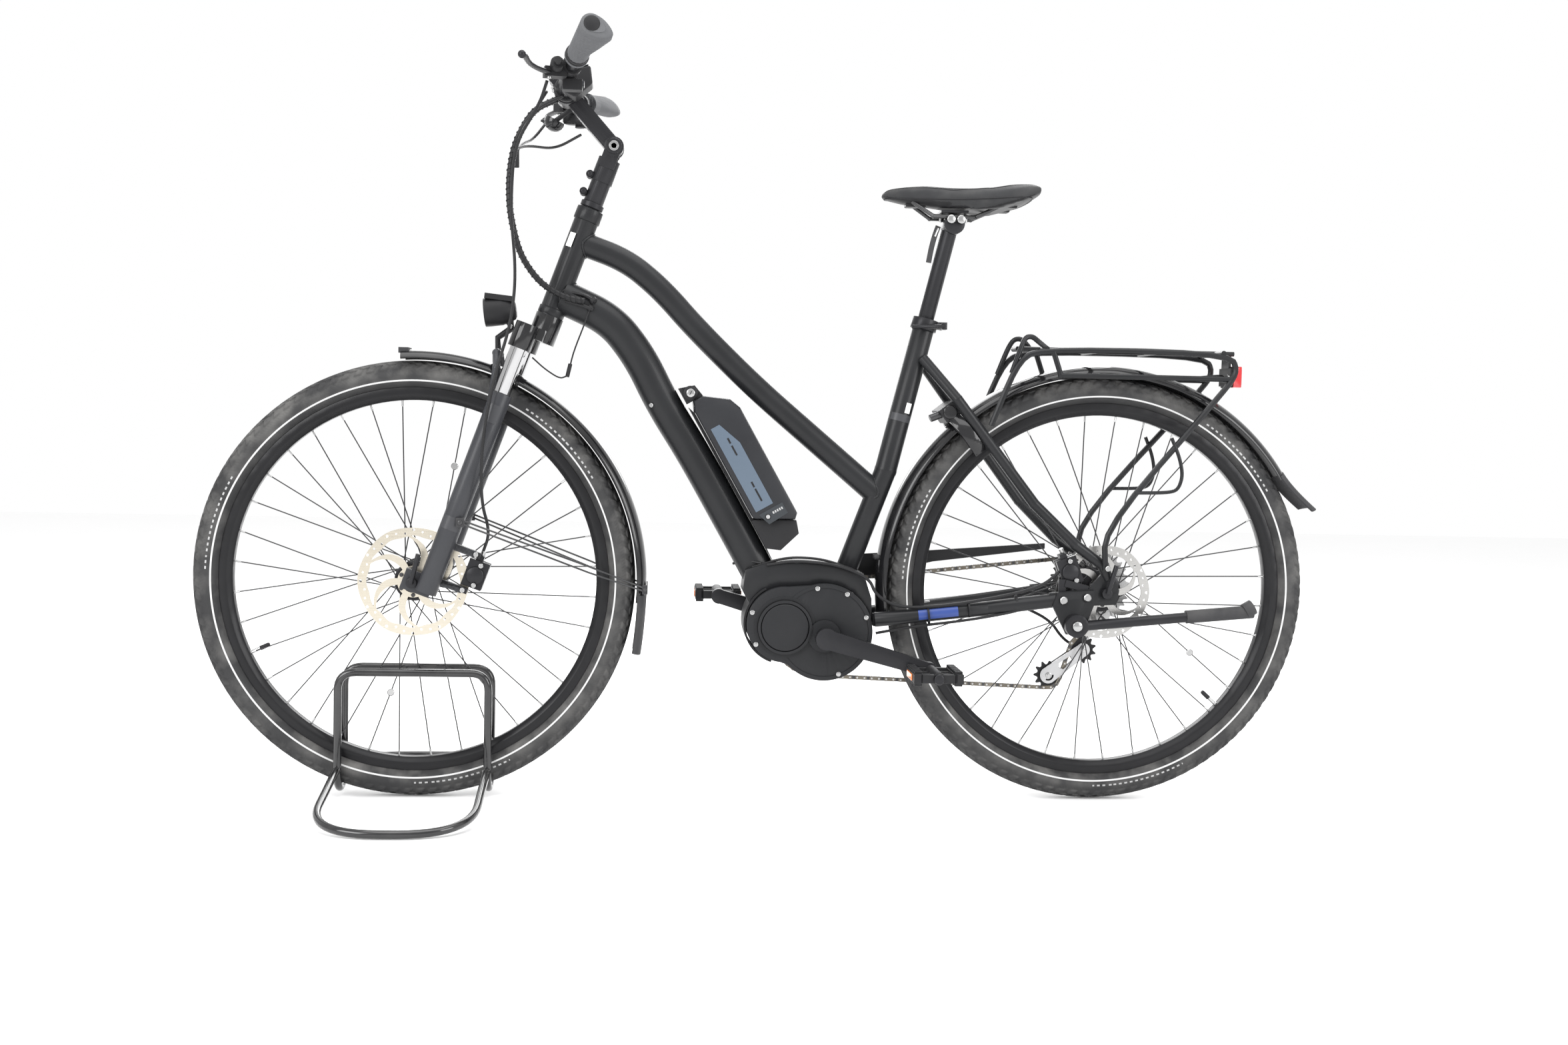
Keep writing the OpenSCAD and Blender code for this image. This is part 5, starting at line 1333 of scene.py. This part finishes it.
base = Shape()
for s in (1062, 1092):
    for y in (-1, 1):
        base.lathe(steered(-21, y * 4, s), (0, y, 0), [(0, 6.5), (6, 6.5), (7, 5.5)], 24)
    hexBolt(base, steered(-21, -11, s), (0, -1, 0), 3.8, 2.6, 0)
base.build("stemBolts", ["blackAlloy", "boltSteel"], "steering", "black_alloy")

leverAt = barBend.lerp(barEnd, 55 / 215) + Vector((-36, 2, -14))
controls = Shape()


def brakeUnit():
    a, b = alongBar(150) + Vector((-24, 0, -6)), alongBar(182) + Vector((-26, 0, -4))
    controls.rod(a, b, 10.5, 28, 0, 2)
    controls.rod(b, b + (b - a).normalized() * 9, 6, 20, 1)
    controls.box(leverAt + Vector((8, 8, 2)), (34, 26, 15), Matrix.Rotation(0.2, 3, "Z"))
    controls.box(alongBar(157) + Vector((-14, 0, -3)), (22, 12, 16))
    ring = alongBar(163) - alongBar(151)
    controls.lathe(alongBar(151), ring, [(0, 11.2), (0, 15), (12, 15), (12, 11.2)], 36)
    hexBolt(controls, alongBar(157) + Vector((-12, 0, 9)), (-0.2, 0, 1), 3.4, 3, 2)
    controls.rod(leverAt + Vector((0, 0, -9)), leverAt + Vector((0, 0, 9)), 3.4, 16, 2)
    controls.rod(a, a + Vector((-6, 14, -8)), 4, 16, 1)


controls.both(brakeUnit)
right = alongBar(128)
controls.lathe(flip(alongBar(122)), flip(alongBar(136)) - flip(alongBar(122)),
    [(0, 11.2), (0, 14.5), (14, 14.5), (14, 11.2)], 36)
controls.box((right.x + 0, -right.y, right.z - 25), (40, 26, 22), Matrix.Rotation(0.15, 3, "X"))
controls.lathe((right.x - 4, -right.y, right.z - 36), (0, 0, 1), [(0, 15), (3, 18), (12, 18), (16, 14)], 36)
controls.lathe(alongBar(120), alongBar(134) - alongBar(120), [(0, 11.2), (0, 14.2), (13, 14.2), (13, 11.2)],
    36)
controls.box(alongBar(128) + Vector((6, 2, -19)), (30, 24, 17))
controls.box(alongBar(128) + Vector((22, 2, -17)), (4, 16, 9), mark=3)
controls.build("barControls", ["mouldedBlack", "hoseBlack", "boltSteel", "paintGrey"], "bars",
    "black_plastic", bevel=2.2, stands=["controls"])

screen = Shape()
face = [(-307.8, 1195.5), (-304.1, 1167), (-331, 1144), (-366, 1160), (-352, 1183)]
screen.plate([face], (-76, -28))
screen.lathe((barMid.x, -40, barMid.z), (0, 1, 0), [(0, 15.9), (0, 20.4), (12, 20.4), (12, 15.9)], 40)
screen.build("displayBody", "mouldedBlack", "bars", "black_plastic", bevel=3.5)
glass = Shape()
glass.plate([[(-348.6, 1185.3), (-311.2, 1196.4), (-311.5, 1197.5), (-349, 1186.6)]], (-72, -32))
glass.build("displayGlass", "screenGlass", "bars", "black_plastic")
bell = Shape()
bellAt = Vector((-375, 100, 1130))
bellAxis = Vector((-0.45, 0.1, -0.9)).normalized()
bell.lathe(bellAt, bellAxis, [(-8, 17), (-4, 17.5), (2, 16.5), (7, 13.5), (10.5, 9), (12.5, 3),
    (12.7, 0.3)], 40)
bell.lathe((barMid.x + 3.6, 96, barMid.z + 4.5), (0, 1, 0), [(0, 11.3), (0, 13.6), (9, 13.6), (9, 11.3)],
    32, 1)
bell.rod((barMid.x, 100, barMid.z - 10), bellAt - bellAxis * 6, 4, 14, 1)
bell.rod(bellAt + Vector((-6, 12, 4)), bellAt + Vector((-22, 18, 8)), 2.2, 12, 1)
bell.build("bell", ["glossBlack", "mouldedBlack"], "bars", "black_alloy")

for side, node in ((1, "brake_lever_left"), (-1, "brake_lever_right")):
    lever = Shape()
    pts = [(3, 6, 0), (-6, -10, 0), (-18, -36, 0), (-25, -60, 0.5), (-28, -88, 1.5), (-29, -106, 2),
        (-33, -118, 2)]
    sizes = [(7, 3.7), (6.5, 3.7), (5.2, 3.7), (4.6, 4.2), (4.6, 4.4), (5, 4.4), (5.6, 4.4)]
    path = [Vector((leverAt.x + x, (leverAt.y + y) * side, leverAt.z + z)) for x, y, z in pts]
    fine = rounded(path, 6)
    at = np.linspace(0, 1, len(fine))
    lever.tube(fine, [(float(np.interp(t, np.linspace(0, 1, 7), [q[0] for q in sizes])),
        float(np.interp(t, np.linspace(0, 1, 7), [q[1] for q in sizes]))) for t in at], 24, side=(1, 0, 0))
    lever.ball(path[-1], 6.2)
    lever.build("leverLeft" if side > 0 else "leverRight", "blackAlloy", node, "black_alloy", stands=[node],
        sharp=60)
print("handlebar dressed")

# Headlamp, calipers and derailleur cage
lampAt = steered(-60, 0, 838)
lamp = Shape()
lampDir = Vector((-1, 0, -0.11)).normalized()
lamp.lathe(lampAt - lampDir * 6, lampDir, [(0, 11), (2, 15), (12, 20), (24, 23), (44, 23.6), (52, 23.4),
    (52, 21.6), (44, 21)], 48)
lamp.lathe(lampAt + lampDir * 14, lampDir, [(0, 6), (8, 14), (20, 19.5), (29, 21.2)], 40, 1)
lamp.box(lampAt + Vector((-22, 0, 20)), (46, 34, 9), Matrix.Rotation(0.1, 3, "Y"))
foot = steered(-57, 0, 763)
lamp.tube([lampAt + Vector((-6, 0, -16)), lampAt + Vector((-2, 0, -30)), foot + Vector((-1, 0, 26)),
    foot + Vector((0, 0, 6))], [(10, 8), (8, 6), (8, 5), (9, 5)], 16, side=(0, 1, 0))
hexBolt(lamp, lampAt + Vector((-3, -9, -27)), (0, -1, 0), 4, 3, 2)
hexBolt(lamp, foot + Vector((0, -8, 4)), (0, -1, 0), 4.4, 4, 2)
lamp.build("headLamp", ["mouldedBlack", "mirrorBowl", "boltSteel"], "headlamp", "lamp_black",
    stands=["headlamp"], bevel=1.2)
lens = Shape()
lens.lathe(lampAt + lampDir * 43, lampDir, [(0, 21.4), (1.6, 21.4), (3.0, 18), (3.8, 10), (4, 0.5)], 40)
lens.build("headLampLens", "clearLens", "headlamp", "lamp_black")


def caliperBody(shape, at, turn, y):
    # two halves over the disc, a bridge, pistons and bolts
    for dy, w in ((-8, 10), (8, 9)):
        shape.box(at + Vector((0, dy, 0)), (34, w, 46), turn)
    shape.lathe(at + Vector((0, -8, 0)) + turn @ Vector((0, 0, -2)), (0, -1, 0),
        [(0, 14.5), (8, 14.5), (9.4, 12.5)], 32)
    shape.box(at + turn @ Vector((13, 0, 0)), (9, 25, 44), turn)
    for dz in (-17, 17):
        hexBolt(shape, at + Vector((0, -18, 0)) + turn @ Vector((4, 0, dz)), (0, -1, 0), 4, 3, 1)
    shape.box(at + turn @ Vector((-2, 0, 26)), (12, 18, 10), turn, 0)
    shape.rod(at + turn @ Vector((0, 0, 28)), at + turn @ Vector((-1, -2, 40)), 4, 14, 1)


frontCal = Shape()
turn = Matrix.Rotation(bike["lean"], 3, "Y")
caliperBody(frontCal, steered(40, -40, 414), turn, -40)
for s in (384, 446):
    frontCal.box(steered(8, -57, s), (60, 10, 9), turn)
    hexBolt(frontCal, steered(30, -62, s), (0, -1, 0), 4.2, 3.4, 1)
frontCal.build("frontCaliper", ["blackAlloy", "boltSteel"], "fork_lowers", "black_alloy", bevel=2.2,
    stands=["front_caliper"])
rearCal = Shape()
caliperBody(rearCal, Vector((rearX - 60, -52, 396)), Matrix.Rotation(-0.35, 3, "Y"), -52)
rearCal.box((rearX - 74, -68, 366), (12, 7, 34))
rearCal.box((rearX - 50, -70, 372), (40, 7, 12), Matrix.Rotation(0.25, 3, "Y"))
rearCal.build("rearCaliper", ["blackAlloy", "boltSteel"], "frame", "black_alloy", bevel=2.2,
    stands=["rear_caliper"])

up, lo = Vector(bike["upperPulley"]), Vector(bike["lowerPulley"])
mech = Shape()
d = (lo - up).normalized()
side = Vector((-d.y, d.x))


def cageLoops():
    outer = []
    for k in range(26):
        c = math.radians(-100 + 200 * k / 25)
        outer.append(lo + d * (14.5 * math.cos(c)) + side * (14.5 * math.sin(c)))
    for k in range(22):
        c = math.radians(80 + 200 * k / 21)
        outer.append(up + d * (12 * math.cos(c)) + side * (12 * math.sin(c)))
    mid = (up + lo) / 2
    slot = [mid + d * u + side * v for u, v in ((-13, -5), (-13, 5), (10, 7), (15, 0), (10, -6))]
    ring = [lo + d * (9.6 * math.cos(c)) + side * (9.6 * math.sin(c)) for c in np.linspace(0.4, 2.6, 9)]
    ring += [lo + d * (5.8 * math.cos(c)) + side * (5.8 * math.sin(c)) for c in np.linspace(2.6, 0.4, 9)]
    return [outer, slot, ring]


for y0 in (37.5, 48.7):
    mech.plate(cageLoops(), (y0, y0 + 1.6))
for p in (up, lo):
    mech.rod((p.x, 36.4, p.y), (p.x, 51.6, p.y), 3, 20, 1)
    hexBolt(mech, (p.x, 37.5, p.y), (0, -1, 0), 5, 2.2, 1)
    hexBolt(mech, (p.x, 50.3, p.y), (0, 1, 0), 5, 2.2, 1)
mech.rod((556, 50.5, 250), (556, 68, 250), 11, 32, 2, 1.5)
mech.tube(rounded([(556, 62, 252), (566, 66, 276), (574, 72, 304), (576, 75, 320)], 6), (8, 9.5), 20, 0)
mech.tube(rounded([(552, 60, 262), (556, 64, 282), (566, 70, 308)], 6), (5, 5), 16, 2)
mech.rod((576, 66, 318), (576, 84, 318), 9, 28, 2, 1)
mech.plate([[(rearX + 2, 339), (rearX + 17, 341), (rearX + 27, 316), (rearX + 20, 307), (rearX + 8, 309)]],
    (67.6, 74.4), mark=2)
mech.build("rearMech", ["silverAlloy", "boltSteel", "blackAlloy"], "frame", "silver_alloy", bevel=0.7,
    stands=["derailleur"])
print("lamp, calipers and derailleur made")

# Pedals, cranks, motor and battery trim


def makePedal(label, x, z, side, body):
    shape = Shape()
    mid = -149 * side

    def plate(points, z0, z1, mark=0):
        n = len(points)
        verts = [(x + p[0], mid + p[1] * side, z + zz) for zz in (z0, z1) for p in points]
        faces = [tuple(range(n)), tuple(reversed(range(n, 2 * n)))] + [(k, (k + 1) % n, n + (k + 1) % n,
            n + k) for k in range(n)]
        shape.put(verts, faces, mark)
    for sx in (-1, 1):
        plate([(sx * 40, -44), (sx * 40, 40), (sx * 30, 45), (sx * 25, 38), (sx * 25, -38), (sx * 30, -46)],
            -8, 8)
        for k in range(7):
            plate([(sx * 39, -38 + k * 12), (sx * 39, -32 + k * 12), (sx * 26, -32 + k * 12),
                (sx * 26, -38 + k * 12)], -12, 12)
        shape.box((x + sx * 40.6, mid, z), (2.4, 46, 11), None, 1)
    plate([(-27, -42), (27, -42), (27, -33), (-27, -33)], -7, 7)
    plate([(-27, 33), (27, 33), (27, 42), (-27, 42)], -7, 7)
    shape.rod((x, mid - 42, z), (x, mid + 42, z), 10.5, 28, 0, 2)
    for t in (-10, 10):
        plate([(-26, t - 2), (26, t - 2), (26, t + 2), (-26, t + 2)], -5, 5)
    shape.lathe((x, mid - 44 * side, z), (0, -side, 0), [(0, 8.6), (3, 8.2), (4, 6)], 28, 2)
    shape.build(label, ["mouldedBlack", "amberLens", "blackAlloy"], body, "black_plastic", bevel=1.1,
        stands=[body])


pedalSettings = {
    "pedalLeft": {"axle": (261.1, 232.2), "side": 1, "body": "pedal_left"},
    "pedalRight": {"axle": (-79.1, 329.8), "side": -1, "body": "pedal_right"},
}
for label, s in pedalSettings.items():
    makePedal(label, *s["axle"], s["side"], s["body"])

cranks = Shape()
capSettings = {"boltY": 74, "ringY": 76}
for s in (-1, 1):
    hexBolt(cranks, (crankX, capSettings["boltY"] * s, crankZ), (0, s, 0), 9, 4, 0)
    cranks.lathe((crankX, capSettings["ringY"] * s, crankZ), (0, s, 0),
        [(0, 16.5), (1.6, 15.6), (1.6, 11), (0.4, 10.6)], 40, 0)
cranks.build("crankCaps", "darkSteel", "crank", "dark_steel")

motorSettings = {
    "cover": (crankX - 66, 295), "shell": (crankX - 66, 299), "ring": (crankX, 287), "shellR": 58,
        "ringR": 74,
    "boltAngles": (100, 60, 20, -25, -70, 215, 160), "skidAngles": (118, 252), "skidRadii": (64.5, 68),
        "faceY": -52.5,
}
motor = Shape()
cx, cz = motorSettings["cover"]
motor.lathe((cx, -60, cz), (0, -1, 0), [(0, 44.6), (0.4, 43.4), (0.4, 40.5), (-0.2, 40)], 96)
motor.lathe((cx, -60, cz), (0, -1, 0), [(0, 39), (1.2, 37.6), (1.4, 30)], 96)
motor.plate([circle(cx, cz, 51, 96), circle(cx, cz, 45.8, 96)], (-53.4, -51.8))
motor.plate([circle(*motorSettings["ring"], 79, 96),
    circle(*motorSettings["ring"], motorSettings["ringR"], 96)], (-53, -51.8))
motor.plate([circle(crankX, crankZ, 27, 64), circle(crankX, crankZ, 14, 64)], (-57, -51.8))
for degrees in motorSettings["boltAngles"]:
    onRing = degrees < 140
    ox, oz = motorSettings["ring" if onRing else "shell"]
    r, a = motorSettings["ringR" if onRing else "shellR"], math.radians(degrees)
    hexBolt(motor, (ox + r * math.cos(a), motorSettings["faceY"], oz + r * math.sin(a)), (0, -1, 0), 4, 1.8,
        1)
skid = []
sx, sz = motorSettings["shell"]
for r in motorSettings["skidRadii"]:
    turns = np.radians(np.linspace(*motorSettings["skidAngles"], 40))
    line = [(sx + r * math.cos(a), sz + r * math.sin(a)) for a in turns]
    skid += line[::-1] if skid else line
motor.plate([skid], (-40, 40), mark=2)
motor.build("motorTrim", ["motorShell", "boltSteel", "mouldedBlack"], "frame", "motor_plastic", bevel=0.6)

cell = Shape()


def downPlate(points, y0, y1, mark=0):
    cell.plate([[(onDown(u, h).x, onDown(u, h).z) for u, h in points]], (y0, y1), mark=mark)


downPlate([(-92, 14), (-92, 30), (-50, 46), (64, 46), (64, 14)], -45.5, -44.8, 1)
downPlate([(70, 16), (70, 60), (90, 60), (92, 24)], -45.5, -44.8, 2)
for k in range(5):
    downPlate([(76, 38 + k * 4), (76, 40.5 + k * 4), (80, 40.5 + k * 4), (80, 38 + k * 4)], -45.8, -45.4, 3)
b = onDown(80, 28)
cell.lathe((b.x, -45.4, b.z), (0, -1, 0), [(0, 5), (0.7, 4.8)], 28, 0)
cell.lathe((b.x, -46, b.z), (0, -1, 0), [(0, 3.4), (0.3, 3.2)], 28, 3)
for u0, u1 in ((-66, -56), (-52, -34), (16, 26), (29, 52)):
    downPlate([(u0, 30), (u0, 33), (u1, 33), (u1, 30)], -45.8, -45.4, 0)
# thin light grey strip along the dock edge: a painted highlight for the shine of the gap between battery and tube
downPlate([(-128, 4.2), (-128, 5.6), (70, 5.6), (70, 4.2)], -38, -30, 3)
cell.build("batteryTrim", ["mouldedBlack", "labelBlue", "screenGlass", "greyPrintAndPaintedShine"], "battery",
    "battery_plastic")
dock = Shape()
k = onDown(-160, 14)
dock.lathe((k.x, -30, k.z), (0, -1, 0), [(0, 12), (4, 12), (5.5, 10)], 40)
dock.build("lockCollar", "mouldedBlack", "frame", "black_plastic")
keyFace = Shape()
keyFace.lathe((k.x, -38, k.z), (0, -1, 0), [(0, 6.8), (1.6, 6.8), (2, 6.2)], 32)
keyFace.box((k.x, -40.2, k.z), (1.2, 1, 7), Matrix.Rotation(0.5, 3, "Y"), 1)
keyFace.build("keyFace", ["boltSteel", "mouldedBlack"], "battery_key", "silver_alloy")
print("trim made")

# Carrier loops, tail lamp, lock and reflectors
carrier = Shape()


def carrierSide():
    carrier.tube(rounded([(662, -74, 622), (676, -76, 590), (682, -78, 560), (674, -80, 536),
        (655, -80, 531), (600, -82, 530)], 8), 3, 14)
    carrier.tube(rounded([(392, -58, 724), (408, -54, 768), (416, -46, 784), (428, -44, 786),
        (440, -46, 776), (452, -58, 764)], 8), 4.4, 16)
    hexBolt(carrier, (556, -93, 404), (0, -1, 0), 4.6, 3.6, 1)


carrier.both(carrierSide)
carrier.build("carrierLoops", ["satinFrame", "boltSteel"], "frame", "black_alloy")
lamp = Shape()
for k in range(5):
    lamp.box((rearX + 233.4, -24 + 12 * k, 727), (1.6, 8, 26))
lamp.build("tailLampRibs", "redLens", "frame", "lamp_red", bevel=0.6)
bracket = Shape()
bracket.box((rearX + 216, 0, 727), (4, 56, 30), None, 0)
for y in (-24, 24):
    hexBolt(bracket, (rearX + 213, y, 727), (-1, 0, 0), 3.6, 3, 1)
bracket.build("tailBracket", ["mouldedBlack", "boltSteel"], "frame", "black_plastic")

low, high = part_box("ring_lock")
mid = (low + high) / 2 / mm
lock = Shape()
lockDir = Vector((-132, 0, 171)).normalized()
centre = Vector((rearX - 255 + 0.29 * 132, 0, 678 - 0.29 * 171))
centre = centre + Vector((-lockDir.z, 0, lockDir.x)) * 20.4
lock.box(centre + lockDir * 52, (30, 74, 26), Matrix.Rotation(math.atan2(lockDir.x, lockDir.z), 3,
    "Y").to_3x3())
lock.rod(centre + lockDir * 50 + Vector((-14, -24, -2)), centre + lockDir * 50 + Vector((-34, -26, -10)),
    6.5, 24, 1)
lock.lathe(centre + lockDir * 52 + Vector((0, -37, 0)), (0, -1, 0), [(0, 12), (2.5, 11.4), (3, 9)], 36, 2)
lock.build("lockBody", ["mouldedBlack", "darkSteel", "glossBlack"], "frame", "black_plastic", bevel=5)

for label, x, body, places in (("frontReflectors", frontX, "front_wheel", (70, 250)),
        ("rearReflectors", rearX, "rear_wheel", (-33,))):
    shape = Shape()
    for a in places:
        hub, rim = spokeLine(int((a % 360) / 10), x, -24 if x < 0 else -36, 34 if x < 0 else 24, 28)
        p = rim.lerp(hub, 0.36)
        shape.lathe(p, (0, -1, 0), [(-2.2, 5.4), (-1.4, 6), (1.6, 6), (2.4, 5)], 24)
    shape.build(label, "boltSteel", body, "steel")

hubs = Shape()
for x, half, body in ((frontX, 50, "front_wheel"),):
    for y in (-30, 34):
        hubs.plate([circle(x, axleZ, 30, 64), circle(x, axleZ, 18.5, 48)] + [circle(x + 26 * math.cos(a),
            axleZ + 26 * math.sin(a), 1.3, 8) for a in np.linspace(0, 2 * math.pi, 19)[:18]],
                (y - 1.6, y + 1.6))
hubs.build("hubFlanges", "blackAlloy", "front_wheel", "black_alloy")

bolts = Shape()
for x, z in ((486, 349), (526, 354)):
    hexBolt(bolts, (x, -81.6, z), (0, -1, 0), 6.4, 4.5, 0)
for p in ((-202, -22, 657),):
    hexBolt(bolts, p, (-0.2, -1, 0), 3.6, 3, 0)
bolts.lathe((506, -100.6, 308), (0, -1, 0), [(0, 8), (3, 8), (4, 6.5)], 28, 0)
bolts.build("frameBolts", "boltSteel", "frame", "silver_alloy")
print("details made")
# The floor stand as smooth round tube
standSettings = {"long": 122, "halfY": 32.1, "kneeZ": 44.9, "topZ": 209.5, "footY": 293.5, "corner": 30,
    "r": 6.5, "sides": 24}


def standPaths(s):
    a, h, k, r = s["long"], s["halfY"], s["kneeZ"], s["corner"]
    top = s["topZ"]
    loop = []
    for dx in (1, -1):
        turn = [Vector((dx * (a - r * (1 - q) ** 2), 0, top - r * q * q)) for q in np.linspace(0, 1, 9)]
        under = [Vector((dx * a, -h * math.cos(q), k - h * math.sin(q))) for q in np.linspace(0, math.pi, 25)]
        side = [p + Vector((0, -h, 0)) for p in turn] + under + [p + Vector((0, h,
            0)) for p in reversed(turn)]
        loop += side if dx > 0 else side[::-1]
    y = h + s["r"] + 0.3
    foot = [(-a, -y, k + 2), (-a, -56, k + 2), (-a, -s["footY"], s["r"]), (a, -s["footY"], s["r"]),
        (a, -56, k + 2), (a, -y, k + 2)]
    return loop, rounded(foot, 12)


def makeStand(s):
    shape = Shape()
    loop, foot = standPaths(s)
    place = Vector((frontX, 0, 0))
    shape.tube([p + place for p in loop], s["r"] + 0.04, s["sides"], closed=True, side=(1, 1, 1))
    shape.both(lambda: shape.tube([p + place for p in foot], s["r"] + 0.04, s["sides"], side=(1, 0, 0)))
    return shape


makeStand(standSettings).build("floorStand", "standGloss", "floor_stand", "stand_gloss",
    stands=["floor_stand"])
print("stand made")


floor = Shape()
floor.box((0, 0, -2.0), (14000, 14000, 2))
mesh = bpy.data.meshes.new("floor")
mesh.from_pydata([(x * mm, y * mm, z * mm) for x, y, z in floor.verts], [], floor.faces)
mesh.materials.append(finish["paperFloor"])
ground = bpy.data.objects.new("floor", mesh)
scene.collection.objects.link(ground)
ground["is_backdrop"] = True
low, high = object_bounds()
